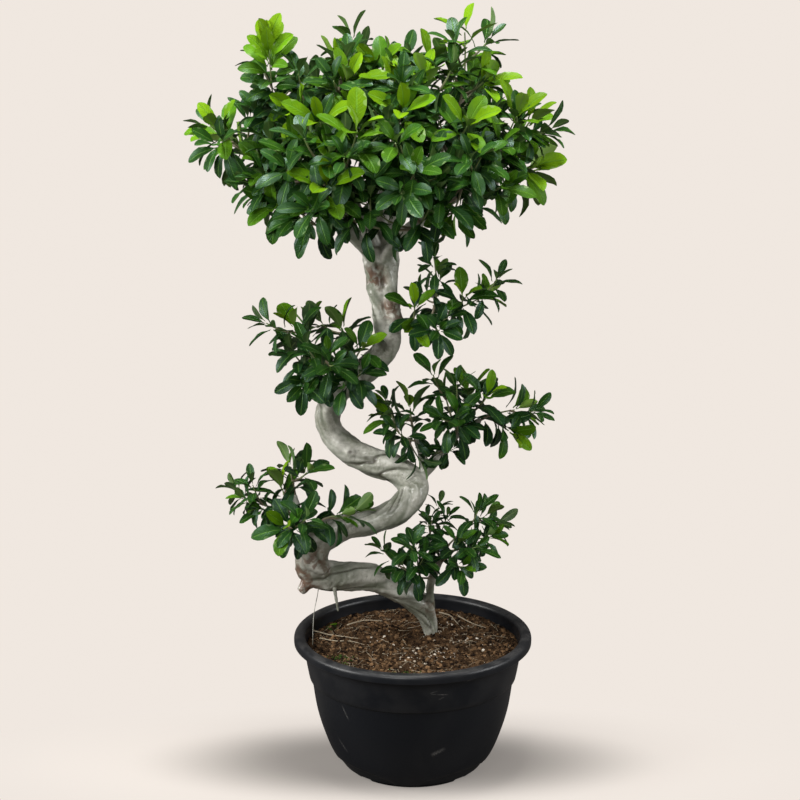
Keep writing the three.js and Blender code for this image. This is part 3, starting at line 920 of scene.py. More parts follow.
@dataclass(frozen=True)
class UndersideFinish:
    """The paler, duller lower face of a leaf, with its raised midrib."""

    young: Colour = (0.180, 0.330, 0.030)
    old: Colour = (0.045, 0.100, 0.030)
    rib: Colour = (0.160, 0.250, 0.070)
    roughness: float = 0.55

    def material(self) -> Material:
        """Builds the material.

        Returns:
            The material.
        """
        material, graph, shader = new_material("leaf lower face", self.old, self.roughness)
        age = graph.attribute("leaf_age")
        mottle = graph.noise(120.0, 2.0)
        blade = graph.mix(graph.plus(age, graph.times(mottle, 0.2)), self.young, self.old)
        rib = graph.remap(graph.math("ABSOLUTE", graph.attribute("leaf_across")), 0.16, 0.05)
        colour = graph.mix(graph.times(rib, 0.7), blade, self.rib)
        finish_with(graph, shader, colour, None, mottle, 0.0002)
        return material


@dataclass(frozen=True)
class TwigFinish:
    """Twig bark: green where it is young, pale brown-grey where it is old."""

    young: Colour = (0.120, 0.210, 0.040)
    old: Colour = (0.230, 0.190, 0.130)
    roughness: float = 0.6

    def material(self) -> Material:
        """Builds the material.

        Returns:
            The material.
        """
        material, graph, shader = new_material("twig bark", self.old, self.roughness)
        wood = graph.attribute("twig_age")
        speck = graph.noise(500.0, 3.0)
        colour = graph.mix(graph.plus(wood, graph.times(speck, 0.3)), self.young, self.old)
        finish_with(graph, shader, colour, None, speck, 0.0003)
        return material


@dataclass(frozen=True)
class BarkFinish:
    """Smooth pale bark with greenish bloom, fine dark cracks, lenticels and healed wounds."""

    effects: Effects
    pale: Colour = (0.610, 0.605, 0.545)
    shade: Colour = (0.285, 0.290, 0.230)
    # bloom is the greenish bloom's colour and also that of the painted shade on faces that look down and in
    # valleys.
    bloom: Colour = (0.145, 0.165, 0.115)
    crack: Colour = (0.050, 0.042, 0.028)
    wound: Colour = (0.135, 0.072, 0.044)
    roughness: float = 0.30
    bloom_scale: float = 14.0
    ring_pitch: float = 0.9
    ring_wander: float = 26.0
    speck_scale: float = 300.0
    relief: float = 0.0009

    def material(self) -> Material:
        """Builds the material.

        Returns:
            The material.
        """
        material, graph, shader = new_material("banyan bark", self.pale, self.roughness)
        here = graph.here()
        grain = self.effects.grain.place(graph, Coarse=22.0, Fine=240.0, Fine_Share=0.35)["Mask"]
        colour = graph.ramp(grain, ((0.34, self.shade), (0.56, self.pale)))
        bloom = graph.remap(graph.noise(self.bloom_scale, 3.0, here, Distortion=0.6), 0.48, 0.66)
        colour = graph.mix(graph.times(bloom, 0.6), colour, self.bloom)
        # Painted shade: faces that look down are darkened towards the bloom colour.
        shaded = graph.plus(graph.upward(), graph.times(graph.noise(18.0, 3.0, here), 0.5))
        colour = graph.mix(graph.remap(shaded, 0.45, -0.35, (0.0, 0.5)), colour, self.bloom)
        # Painted shade: the bark's sunken valleys are darkened towards the bloom colour.
        colour = graph.mix(graph.attribute("bark_valley_shade"), colour, self.bloom)
        bent = graph.noise(30.0, 2.0, here)
        ring = graph.plus(graph.attribute("bark_along"), graph.times(bent, self.ring_wander))
        lenticels = graph.remap(graph.math("SINE", graph.times(ring, self.ring_pitch)), 0.90, 1.0)
        dotted = graph.remap(graph.noise(self.speck_scale, 2.0, here), 0.62, 0.72)
        marks = graph.times(lenticels, graph.remap(graph.noise(60.0, 2.0, here), 0.54, 0.66))
        dark = graph.greater(graph.times(marks, 0.45), graph.times(dotted, 0.3))
        dark = graph.greater(dark, graph.attribute("bark_crease"))
        colour = graph.mix(dark, colour, self.crack)
        ragged = graph.remap(graph.noise(75.0, 5.0, here, Distortion=1.0), 0.38, 0.56)
        colour = graph.mix(graph.times(ragged, graph.attribute("bark_wound")), colour, self.wound)
        relief = graph.minus(graph.times(grain, 0.8), dark)
        finish_with(graph, shader, colour, None, relief, self.relief)
        return material


@dataclass(frozen=True)
class PlasticFinish:
    """Near-black moulded plastic with faint moulding grain, settled dust and rubbed marks."""

    effects: Effects
    base: Colour = (0.0042, 0.0056, 0.0084)
    dust: Colour = (0.070, 0.068, 0.066)
    rubbed: Colour = (0.330, 0.320, 0.300)
    roughness: float = 0.36
    gloss: float = 0.42
    band_foot: float = 0.139
    film: float = 0.05
    band_wear_and_sheen: float = 0.12
    relief: float = 0.00012

    def material(self, scuffs: Sequence["Scuff"]) -> Material:
        """Builds the material.

        Args:
            scuffs: The rubbed marks on it.

        Returns:
            The material.
        """
        material, graph, shader = new_material("black moulded plastic", self.base, self.roughness)
        grain = self.effects.grain.place(graph, Coarse=16.0, Fine=420.0, Fine_Share=0.5)["Mask"]
        dust = self.effects.dust.place(graph, Amount=0.35, Scale=55.0)["Mask"]
        film = graph.remap(graph.noise(9.0, 5.0, Distortion=0.8), 0.5, 0.75, (0.0, self.film))
        height = graph.add("SeparateXYZ", {0: graph.here()}).outputs["Z"]
        # The upper band is lightened in patches: partly wear, partly painted sheen.
        worn = graph.remap(graph.noise(26.0, 5.0), 0.3, 0.7, (0.0, self.band_wear_and_sheen))
        band = graph.times(graph.remap(height, self.band_foot, self.band_foot + 0.004), worn)
        film = graph.greater(film, band)
        colour = graph.mix(graph.greater(dust, film), self.base, self.dust)
        for scuff in scuffs:
            mark = self.effects.scuff.place(graph, **scuff.inputs())["Mask"]
            colour = graph.mix(graph.times(mark, scuff.strength), colour, self.rubbed)
        rough = graph.plus(graph.times(grain, 0.22), self.roughness - 0.1)
        rough = graph.plus(rough, graph.times(dust, 0.4))
        finish_with(graph, shader, colour, rough, grain, self.relief)
        graph.feed(shader.inputs["Specular IOR Level"], self.gloss)
        return material


@dataclass(frozen=True)
class CrumbFinish:
    """Loose matter that lies in the pot: each crumb has its own tone between two colours."""

    name: str
    dark: Colour
    light: Colour
    roughness: float = 0.9
    grain: float = 600.0
    gloss: float = 0.12

    def material(self) -> Material:
        """Builds the material.

        Returns:
            The material.
        """
        material, graph, shader = new_material(self.name, self.dark, self.roughness)
        speck = graph.noise(self.grain, 4.0)
        tone = graph.plus(graph.attribute("crumb_tone"), graph.minus(speck, 0.5))
        colour = graph.mix(tone, self.dark, self.light)
        finish_with(graph, shader, colour, None, speck, 0.0006)
        graph.feed(shader.inputs["Specular IOR Level"], self.gloss)
        return material


@dataclass(frozen=True)
class StageFinish:
    """The pale floor and backdrop: even in tone, with soft shadows where the floor is near the pot.

    The floor is lit by the lamps within lit_reach of the pot and glows evenly elsewhere. A soft painted
    shadow, an ellipse squeezed front to back, darkens it round the foot.
    """

    tone: Colour = (0.871, 0.804, 0.745)
    roughness: float = 0.95
    lit_reach: float = 0.70
    lit_core: float = 0.15
    lit_squeeze: float = 3.0
    albedo: float = 0.48
    gain: float = 0.66
    pool_middle: Point = (-0.02, -0.005, 0.0)
    painted_shadow_squeeze: float = 2.6
    painted_shadow_edge: float = 0.42
    painted_shadow_core: float = 0.15
    painted_shadow_depth: float = 0.54
    bounce: float = 0.36
    front_bounce: float = 0.16
    mirrored: float = 0.13

    def nearness(self, graph: Graph, squeeze: float, edge: float, core: float) -> Socket:
        """A mask that is 1 inside an ellipse round the foot and fades to 0 at its edge.

        Args:
            graph: The material's graph.
            squeeze: How many times wider the ellipse is than it is deep.
            edge: Half its width, in metres.
            core: Half the width of the part that is 1.

        Returns:
            The mask.
        """
        off = graph.add("VectorMath", {0: graph.here(), 1: self.pool_middle}, operation="SUBTRACT").outputs[0]
        flat = graph.add("VectorMath", {0: off, 1: (1.0, squeeze, 0.0)}, operation="MULTIPLY").outputs[0]
        distance = graph.add("VectorMath", {0: flat}, operation="LENGTH").outputs["Value"]
        return graph.remap(distance, edge, core)

    def material(self) -> Material:
        """Builds the material.

        Returns:
            The material.
        """
        material, graph, shader = new_material("pale stage", self.tone, self.roughness)
        near = self.nearness(graph, self.lit_squeeze, self.lit_reach, self.lit_core)
        lit = graph.times(near, self.albedo)
        # Painted shadow: an ellipse round the foot darkens the floor's lit colour and its glow alike.
        painted_shadow = self.nearness(graph, self.painted_shadow_squeeze, self.painted_shadow_edge, self.painted_shadow_core)
        shade = graph.minus(1.0, graph.times(painted_shadow, self.painted_shadow_depth))
        path = graph.add("LightPath").outputs
        matt = graph.remap(path["Is Glossy Ray"], 0.0, 1.0, (self.gain, self.gain * 0.3))
        reflected = graph.times(graph.times(lit, matt), shade)
        colour = graph.mix(reflected, (0.0, 0.0, 0.0), self.tone)
        finish_with(graph, shader, colour)
        graph.feed(shader.inputs["Specular IOR Level"], 0.0)
        graph.feed(shader.inputs["Emission Color"], self.tone)
        glow = graph.minus(1.0, lit)
        place = graph.add("SeparateXYZ", {0: graph.here()}).outputs
        behind = graph.greater(graph.remap(place["Y"], 1.0, 3.5), graph.remap(place["Z"], 0.5, 0.05))
        level = graph.remap(behind, 0.0, 1.0, (self.front_bounce, self.bounce))
        share = graph.times(path["Is Diffuse Ray"], graph.minus(level, self.mirrored))
        share = graph.plus(share, self.mirrored)
        share = graph.greater(share, path["Is Camera Ray"])
        dimmed = graph.times(graph.times(glow, share), shade)
        graph.feed(shader.inputs["Emission Strength"], dimmed)
        return material


# The trunk


@dataclass(frozen=True)
class Mark:
    """Something on the bark at a place: a knot, a crease or a healed wound."""

    place: Point
    radius: float
    rise: float = 0.0
    crease: float = 0.0
    wound: float = 0.0


@dataclass
class Trunk:
    """Trunk, limbs and buried roots, swept and melted into one skin of bark."""

    voxel: float = 2.0
    rings: int = 260
    sides: int = 48
    limb_sides: int = 14
    twist: float = 5.0
    limb_flare: float = 4.0
    seam_turn: float = 0.017
    seam_width: float = 0.17
    seam_depths: tuple[float, float] = (0.4, 1.5)
    bulge_height: float = 2.2
    lump_height: float = 1.0
    pore_height: float = 0.5
    wrinkle_height: float = 2.4
    strand_depth: tuple[Point, ...] = (
        (0.0, 0.30), (0.1, 0.16), (0.2, 0.12), (0.72, 0.14), (0.82, 0.30), (0.92, 0.55), (1.0, 0.55),
    )
    stubs: tuple[tuple[tuple[Point, ...], tuple[float, float]], ...] = (
        (((-138, -8, 303), (-157, -16, 288), (-166, -18, 278)), (15, 7)),
        (((-146, -10, 318), (-170, -16, 306)), (14, 9)),
        (((-124, -6, 296), (-132, -14, 280)), (12, 8)),
        (((-30, -8, 700), (-22, -22, 722)), (11, 5)),
        (((-50, -6, 720), (-66, -14, 742)), (10, 5)),
    )
    marks: tuple[Mark, ...] = (
        Mark((-92, 0, 486), 9, rise=2.5, crease=0.9),
        Mark((-74, -8, 462), 7, rise=1.5, crease=0.8),
        Mark((-34, -26, 706), 19, rise=1.5, wound=0.9),
        Mark((-22, -22, 690), 14, rise=2.5, wound=0.8),
        Mark((-56, -22, 750), 24, rise=-3.0, crease=0.5, wound=0.9),
        Mark((-52, -24, 764), 8, rise=-4.0, crease=0.9, wound=0.8),
        Mark((-146, -30, 330), 26, rise=1.5, wound=0.75),
        Mark((-162, -22, 312), 22, rise=2.5, wound=0.8),
        Mark((-158, -18, 288), 26, rise=1.0, wound=0.85),
        Mark((-128, -24, 316), 14, rise=1.0, wound=0.6),
        Mark((-150, -14, 356), 26, rise=0.5, wound=0.5),
        Mark((26, 18, 240), 20, rise=1.0, wound=0.5),
        Mark((-6, -18, 262), 9, rise=-1.5, crease=0.7, wound=0.4),
        # These two broad marks darken the right bend towards the crack colour.
        Mark((4, -30, 420), 60, crease=0.30),
        Mark((-30, -40, 398), 46, crease=0.24),
    )

    def __post_init__(self) -> None:
        """Lays out the centreline and how thick it is."""
        self.line = Line.through(TRUNK_LINE)
        knots = np.linspace(0, 1, len(TRUNK_LINE))
        places = np.arange(len(self.line.samples)) / (len(self.line.samples) - 1)
        self.thickness = np.interp(places, knots, [knot[3] * MM for knot in TRUNK_LINE])
        self.limbs = {name: Line.through(limb.path) for name, limb in LIMBS.items()}

    def radius(self, share: float) -> float:
        """The trunk's radius at a share of its length, in metres."""
        return float(np.interp(share * self.line.length, self.line.reach, self.thickness))

    def swollen(self, share: float) -> np.ndarray:
        """Radii round the trunk: strands that twist about each other under one skin, and lumps.

        Args:
            share: Where on the trunk's length.

        Returns:
            One radius for each side, in metres.
        """
        place = self.line.point(share)
        angles = ring_angles(self.sides)
        strands = np.abs(np.cos(1.5 * (angles - self.twist * share))) ** 0.7
        depth = float(np.interp(share, *zip(*self.strand_depth, strict=True)))
        lobes = [
            noise.noise(Vector((math.cos(a) * 0.9, math.sin(a) * 0.9, share * 16.0 + 3.0))) for a in angles
        ]
        lumps = noise.noise(Vector(tuple(place * 28.0)))
        return self.radius(share) * (1 + depth * (strands - 0.7) + 0.12 * np.array(lobes) + 0.06 * lumps)

    def skin(self) -> Mesh:
        """Melts the swept trunk, limbs and roots into one surface.

        Returns:
            The surface.
        """
        draft = Draft("trunk_core", []).add(tube(self.line, self.rings, self.sides, self.swollen))
        limbs = [(limb.path, limb.radii) for limb in LIMBS.values()]
        for path, (start, end) in [*limbs, *BURIED_ROOTS, *self.stubs]:
            line = Line.through(path)
            rings = max(12, int(line.length / (4 * MM)))

            def taper(share: float, start: float = start, end: float = end) -> float:
                """The limb's radius, flared where it leaves the trunk."""
                flare = self.limb_flare * MM * max(0.0, 1 - share * 6) ** 2
                return (start + (end - start) * share) * MM + flare

            draft.add(tube(line, rings, self.limb_sides, taper))
        core = draft.build()
        melt = core.modifiers.new("melt", "REMESH")
        melt.mode = "VOXEL"
        melt.voxel_size = self.voxel * MM
        soften = core.modifiers.new("soften", "SMOOTH")
        soften.factor = 0.5
        soften.iterations = 6
        return evaluated(core)

    def carve(self, mesh: Mesh) -> None:
        """Adds wrinkles, folds, knots and scars, and keeps what the bark's colours need.

        Args:
            mesh: The skin, which is changed.
        """
        count = len(mesh.vertices)
        flat = np.empty(count * 3)
        mesh.vertices.foreach_get("co", flat)
        places = flat.reshape(-1, 3).copy()
        mesh.vertices.foreach_get("normal", flat)
        normals = flat.reshape(-1, 3)
        along, angle = self._around(places)
        rows = [self._relief(Vector(p), a, b) for p, a, b in zip(places, angle, along, strict=True)]
        rise, crease, valley = np.array(rows).T
        wound = np.zeros(count)
        for mark in self.marks:
            off = np.linalg.norm(places - np.array(mark.place, float) * MM, axis=1) / (mark.radius * MM)
            dome = np.clip(1.0 - off**2, 0.0, 1.0)
            rise += mark.rise * dome
            crease = np.maximum(crease, mark.crease * np.clip(1.0 - (off * 2.2) ** 2, 0.0, 1.0))
            wound = np.maximum(wound, mark.wound * np.clip(1.2 * dome, 0.0, 1.0))
        places += normals * (rise * MM)[:, None]
        mesh.vertices.foreach_set("co", places.ravel())
        kept = {"bark_along": along, "bark_crease": crease, "bark_valley_shade": valley, "bark_wound": wound}
        keep_values(mesh, kept)
        mesh.update()

    def _relief(self, place: Vector, angle: float, along: float) -> tuple[float, float, float]:
        """The bark's relief at a place: seams that wind up the trunk, bulges, wrinkles and pores.

        Args:
            place: The place, in metres.
            angle: Its angle about the centreline.
            along: How far along the trunk it is, in millimetres.

        Returns:
            How far it stands out, in millimetres, how much of a crease it is, and how much painted shade it
            takes as a valley.
        """
        turn = angle + self.seam_turn * along
        grown = Vector((1.1 * math.cos(turn), 1.1 * math.sin(turn), 0.009 * along))
        lump = noise.noise(place * 60.0)
        seam = max(0.0, 1.0 - abs(noise.noise(grown) + 0.12 * lump) / self.seam_width)
        gate = min(1.0, max(0.0, 2.5 * noise.noise(place * 14.0 + Vector((4.0, 1.0, 7.0)))))
        bulge = noise.noise(grown * 2.0)
        rings = noise.noise(Vector((2.0 * grown.x, 2.0 * grown.y, 0.16 * along)))
        wrinkle = max(0.0, noise.noise(place * 20.0 + Vector((1.0, 9.0, 2.0)))) * rings
        shallow, deeper = self.seam_depths
        rise = self.bulge_height * bulge + self.lump_height * lump
        rise += self.pore_height * noise.noise(place * 170.0)
        rise += self.wrinkle_height * wrinkle - (shallow + deeper * gate) * seam**2
        crease = min(1.0, gate * seam**2 + max(0.0, -2.2 * wrinkle - 0.35))
        # Painted shade: sunken places along the seams and in wrinkle grooves, away from bulges.
        valley = min(0.8, max(0.0, 0.6 * seam - 1.6 * bulge - 0.2 - 0.8 * wrinkle))
        return rise, crease, valley

    def _around(self, places: np.ndarray) -> tuple[np.ndarray, np.ndarray]:
        """Measures places from the trunk's centreline.

        Args:
            places: The places, one a row.

        Returns:
            How far along the trunk each is, in millimetres, and its angle about the centreline.
        """
        samples = self.line.samples[::3]
        reach = self.line.reach[::3]
        axes = np.gradient(samples, axis=0)
        axes /= np.linalg.norm(axes, axis=1)[:, None]
        sides = np.cross(axes, (0.0, 1.0, 0.0))
        sides /= np.linalg.norm(sides, axis=1)[:, None]
        overs = np.cross(axes, sides)
        nearest = np.empty(len(places), int)
        for first in range(0, len(places), 4000):
            block = places[first : first + 4000]
            gaps = ((block[:, None, :] - samples[None]) ** 2).sum(-1)
            nearest[first : first + 4000] = gaps.argmin(1)
        off = places - samples[nearest]
        angle = np.arctan2((off * overs[nearest]).sum(1), (off * sides[nearest]).sum(1))
        along = reach[nearest] + (off * axes[nearest]).sum(1)
        return along / MM, angle

    def build(self, finish: Material) -> None:
        """Builds the trunk in place of its CAD node.

        Args:
            finish: Its material.
        """
        mesh = self.skin()
        self.carve(mesh)
        mesh.materials.append(finish)
        mesh.name = "trunk_and_limbs"
        declare(placed(mesh, "trunk_and_limbs"), "bark", "trunk")

    def inside(self, places: np.ndarray, clearance: float) -> bool:
        """Whether any place lies in the trunk or within the clearance of it, in metres."""
        gaps = np.linalg.norm(places[:, None] - self.line.samples[None, ::4], axis=-1) - self.thickness[::4]
        return bool((gaps < clearance).any())


@dataclass(frozen=True)
class AerialRoot:
    """A root that hangs from the lower left bend."""

    node: str
    radii: tuple[float, float]
    path: tuple[Point, ...]

    def build(self, finish: Material) -> None:
        """Builds the root in place of its CAD node, a little uneven along its length.

        Args:
            finish: Its material.
        """
        line = Line.through(self.path)
        start, end = self.radii

        def radius(share: float) -> float:
            """The root's radius at a share of its length."""
            knobs = 1.0 + 0.16 * math.sin(share * 31.0) * math.sin(share * 11.0 + 1.0)
            return (start + (end - start) * share) * MM * knobs

        draft = Draft("hanging_" + self.node, [finish]).add(tube(line, 40, 10, radius))
        declare(draft.build(), "bark", self.node)


AERIAL_ROOTS = (
    AerialRoot(
        "aerial_root_thick", (4, 1.2),
        ((-119, -12, 300), (-117, -15, 288), (-114, -16, 268), (-111, -15, 246)),
    ),
    AerialRoot(
        "aerial_root_thin", (0.7, 0.45),
        ((-138, -8, 300), (-141, -9, 272), (-147, -8, 240), (-150, -4, 187)),
    ),
)


# The foliage


@dataclass(frozen=True)
class LeafShape:
    """An elliptic, leathery leaf: a stalk and a blade folded and curled along its midrib."""

    length: float = 42.0
    width: float = 19.5
    stalk: float = 6.0
    stalk_width: float = 1.5
    thickness: float = 0.45
    rows: tuple[float, ...] = (0.0, 0.10, 0.26, 0.46, 0.66, 0.83, 0.94, 1.0)
    columns: tuple[float, ...] = (-1.0, -0.5, 0.0, 0.5, 1.0)

    def profile(self, u: np.ndarray) -> np.ndarray:
        """Half width of the blade, as a share of the greatest, from its base (0) to its tip (1)."""
        shifted = u**1.22
        return np.clip(4 * shifted * (1 - shifted), 0, 1) ** 0.68 + 0.02

    def grid(self) -> tuple[np.ndarray, np.ndarray]:
        """Lays out the rows of the stalk and the blade.

        Returns:
            Each row's distance along the midrib, with the stalk below 0, and its half width.
        """
        blade = np.array(self.rows)
        along = np.concatenate([[-self.stalk, -0.45 * self.stalk], blade * self.length])
        half = np.concatenate([[self.stalk_width / 2] * 2, self.profile(blade) * self.width / 2])
        half[2] = self.stalk_width * 0.8
        half[-1] = 0.5
        return along, half

    def patch(self, size: float, slim: float, fold: float, curl: float, wave: float, phase: float) -> Patch:
        """One leaf along +X from the foot of its stalk, facing +Z, in metres.

        Args:
            size: Scale of the whole leaf.
            slim: Scale of its width.
            fold: How far each half is lifted about the midrib, in radians.
            curl: How far the blade bends down from base to tip, in radians.
            wave: Height of the waves along its edges, as a share of the half width.
            phase: Where the waves begin.

        Returns:
            A closed surface whose lower face has material 1.
        """
        along, half = self.grid()
        half = half * slim
        share = np.clip(along / self.length, 0, 1)
        bend = curl * share**1.3 - 0.12 * (1 - share)
        steps = np.diff(along, prepend=along[0])
        x = np.cumsum(steps * np.cos(bend))
        z = -np.cumsum(steps * np.sin(bend))
        v = np.array(self.columns)
        lift = np.abs(v) * math.sin(fold) - 0.18 * v**2 * math.sin(fold)
        ripple = wave * np.sin(9.0 * share + phase)[:, None] * (np.abs(v) ** 1.5)[None]
        up = half[:, None] * (lift[None] + ripple)
        top = np.empty((len(along), len(v), 3))
        top[..., 0] = x[:, None] + up * np.sin(bend)[:, None]
        top[..., 1] = half[:, None] * v[None] * math.cos(fold)
        top[..., 2] = z[:, None] + up * np.cos(bend)[:, None]
        rows, columns = top.shape[:2]
        belly = np.where(along < 0, self.stalk_width, self.thickness)
        belly = np.repeat(belly[:, None], columns, 1)
        belly[along >= 0, columns // 2] *= 2.0
        low = top - np.stack([np.zeros_like(belly), np.zeros_like(belly), belly], -1)
        inner = [(r, c) for r in range(1, rows - 1) for c in range(1, columns - 1)]
        number = {(r, c): rows * columns + n for n, (r, c) in enumerate(inner)}
        faces, slots = [], []
        for r in range(rows - 1):
            for c in range(columns - 1):
                corners = ((r, c), (r + 1, c), (r + 1, c + 1), (r, c + 1))
                faces.append(tuple(i * columns + j for i, j in corners))
                slots.append(0)
                faces.append(tuple(number.get((i, j), i * columns + j) for i, j in reversed(corners)))
                slots.append(1)
        extra = np.array([low[r, c] for r, c in inner])
        points = np.vstack([top.reshape(-1, 3), extra]) * size * MM
        points[:, 0] += self.stalk * size * MM
        places = [(r, c) for r in range(rows) for c in range(columns)] + inner
        values = {
            "leaf_along": np.array([share[r] for r, _ in places]),
            "leaf_across": np.array([v[c] for _, c in places]),
        }
        return Patch(points, faces, slots, values)


@dataclass
class Shoot:
    """One leafy shoot and how fresh it is."""

    line: Line
    seed: float
    flush: Flush
    habit: Habit = ROSETTE
    size: float = 1.0

    def stations(self) -> list[tuple[int, float]]:
        """Finds where the leaves stand.

        Returns:
            Leaf numbers, counted from the tip, and their places as shares of the length.
        """
        found = []
        habit = self.habit
        for k in range(40):
            back = (habit.first + habit.step * k + habit.growth * k**2) * MM * self.size
            if back > min(habit.leafy * MM, self.line.length * 0.9):
                break
            found.append((k, 1.0 - back / self.line.length))
        return found

    def axes(self, k: int, share: float, turn: float) -> np.ndarray:
        """The directions along, across and out of the upper face of one leaf, as rows.

        Args:
            k: Number of the leaf, counted from the tip.
            share: Its place on the shoot.
            turn: Extra turn about the shoot, in radians.

        Returns:
            A 3 by 3 matrix.
        """
        habit = self.habit
        axis = self.line.tangent(share)
        radial = turned(sideways(axis), axis, self.seed + k * GOLDEN_ANGLE + turn)
        spread = math.radians(habit.youngest + habit.opening * min(1.0, k / habit.settled) ** 0.8)
        along = unit(axis * math.cos(spread) + radial * math.sin(spread) - habit.droop * k * UP)
        towards_axis = unit(axis - along * np.dot(axis, along))
        light = np.array(habit.light)
        towards_light = light - along * np.dot(light, along)
        face = towards_axis + 0.9 * towards_light
        face = unit(face - along * np.dot(face, along))
        return np.stack([along, np.cross(face, along), face])


@dataclass
class Foliage:
    """All the leafy sprays, each a forked twig with its leaves."""

    trunk: Trunk
    finishes: tuple[Material, Material, Material]
    leaf: LeafShape = LeafShape()
    fork_at: float = 0.4
    sag: float = 0.17
    twig_radius: tuple[float, float] = (2.3, 1.0)
    soil_level: float = 196.0
    crown_laterals: tuple[float, ...] = (0.32, 0.46, 0.60, 0.72)
    pad_laterals: tuple[float, ...] = (0.45, 0.65, 0.85)
    lateral_spread: float = math.radians(52)
    lateral_length: tuple[float, float] = (38.0, 16.0)
    lateral_rise: float = 0.15
    lateral_leaf: float = 0.94
    bare_foot: float = 45.0
    lush_leaf: float = 1.16
    leaf_clearance: float = 1.0
    leaf_turns: tuple[int, ...] = (0, 24, -24, 48, -48, 75, -75)
    underside: tuple[Point, ...] = ((-260, 870), (-120, 852), (-20, 868), (50, 905), (150, 940))

    def shoot_line(self, start: np.ndarray, tip: np.ndarray, tangent: np.ndarray | None = None) -> Line:
        """A shoot that turns up towards its tip.

        Args:
            start: Where it leaves its limb.
            tip: Where it ends.
            tangent: The direction that it leaves in; left out, it sags a little.

        Returns:
            The shoot's line.
        """
        reach = tip - start
        length = float(np.linalg.norm(reach))
        bend = start + reach * 0.5 - UP * self.sag * length
        if tangent is not None:
            bend = start + tangent * 0.4 * length
        return Line.bent(start, bend, tip)

    def shoots(self, spray: Spray, limb: str, index: int) -> list[Shoot]:
        """The shoots of one spray: those that it names and short ones between them.

        Args:
            spray: The spray.
            limb: The name of the limb that it grows on.
            index: Its number among all the sprays, which sets how its leaves vary.

        Returns:
            Its shoots.
        """
        arm = self.trunk.limbs[limb]
        crown = LIMBS[limb].family is Family.CROWN
        tips = [np.array(tip, float) * MM for tip in spray.tips]
        lead = self.shoot_line(
            arm.point(spray.share), tips[0], arm.tangent(spray.share) if spray.share == 1 else None
        )
        lines = [lead, *(self.shoot_line(lead.point(self.fork_at), tip) for tip in tips[1:])]
        usual = ROSETTE if crown else PAD_ROSETTE
        habits = [usual if spray.habit is ROSETTE else spray.habit, *[usual] * len(lines)]
        named = [
            Shoot(line, 2.1 * index + 1.3 * n, spray.flush, habits[n], spray.leaf)
            for n, line in enumerate(lines)
        ]
        places = self.crown_laterals if crown else self.pad_laterals
        sides = [lateral for shoot in named for lateral in self.laterals(shoot, places)]
        if crown:
            sides = [side for side in sides if self.above_underside(side.line.point(1.0) / MM)]
        return named + sides

    def above_underside(self, place: np.ndarray) -> bool:
        """Whether a place is above the crown's lower edge, below which side shoots have been shed."""
        across, heights = zip(*self.underside, strict=True)
        return bool(place[2] > np.interp(place[0], across, heights))

    def laterals(self, shoot: Shoot, places: Sequence[float]) -> list[Shoot]:
        """Short side shoots that fill out a long one.

        Args:
            shoot: The long one.
            places: Where they leave it, as shares of its length.

        Returns:
            The side shoots.
        """
        found = []
        least, more = self.lateral_length
        for n, share in enumerate(places):
            if shoot.line.length * share < self.bare_foot * MM:
                continue
            axis = shoot.line.tangent(share)
            radial = turned(sideways(axis), axis, shoot.seed * 1.7 + n * 2.2 + 0.6)
            heading = unit(axis * math.cos(self.lateral_spread) + radial * math.sin(self.lateral_spread))
            start = shoot.line.point(share)
            length = (least + more * vary(shoot.seed + n)) * MM * min(1.0, 0.25 + 0.8 * shoot.size)
            line = self.shoot_line(start, start + heading * length + UP * self.lateral_rise * length)
            size = self.lateral_leaf * shoot.size
            found.append(Shoot(line, shoot.seed + 0.9 + n, Flush.DEEP, SIDE_ROSETTE, size))
        return found

    def place_leaf(self, draft: Draft, shoot: Shoot, k: int, share: float) -> None:
        """Adds one leaf, turned round its twig until it is clear of the trunk and the soil.

        A leaf that is never clear is left out.

        Args:
            draft: The spray's mesh.
            shoot: The shoot that it grows on.
            k: Its number, counted from the tip.
            share: Its place on the shoot.
        """
        lush = self.lush_leaf if shoot.flush is Flush.BRIGHT and shoot.habit is not SIDE_ROSETTE else 1.0
        grown = lush * shoot.size * (0.78 + 0.22 * min(1.0, k / 2))
        grown *= 0.86 + 0.24 * vary(shoot.seed + 0.37 * k)
        dice = [vary(shoot.seed * 3.3 + 1.7 * k + n) for n in range(6)]
        patch = self.leaf.patch(
            grown,
            slim=1.12 - 0.16 * shoot.flush.value - 0.013 * min(k, 10) + 0.14 * (dice[2] - 0.5),
            fold=math.radians(6 + 14 * dice[0] + (10 if k < 2 else 0)),
            curl=math.radians(8 + 2.2 * min(k, 10) + (20 + 2 * min(k, 10)) * dice[1]),
            wave=0.05 + 0.08 * dice[2],
            phase=6.3 * dice[3],
        )
        for degrees in self.leaf_turns:
            axes = shoot.axes(k, share, math.radians(degrees + 16 * (dice[4] - 0.5)))
            points = patch.points @ axes + shoot.line.point(share)
            low = points[:, 2].min() < self.soil_level * MM
            if not low and not self.trunk.inside(points[::4], self.leaf_clearance * MM):
                break
        else:
            return
        patch.points = points
        ripening = min(1.0, k / shoot.habit.ripe)
        age = shoot.flush.value + (1.0 - shoot.flush.value) * ripening
        count = len(points)
        patch.values["leaf_age"] = np.full(count, min(1.0, age + 0.12 * (dice[5] - 0.5)))
        patch.values["leaf_tone"] = np.full(count, dice[0])
        draft.add(patch)

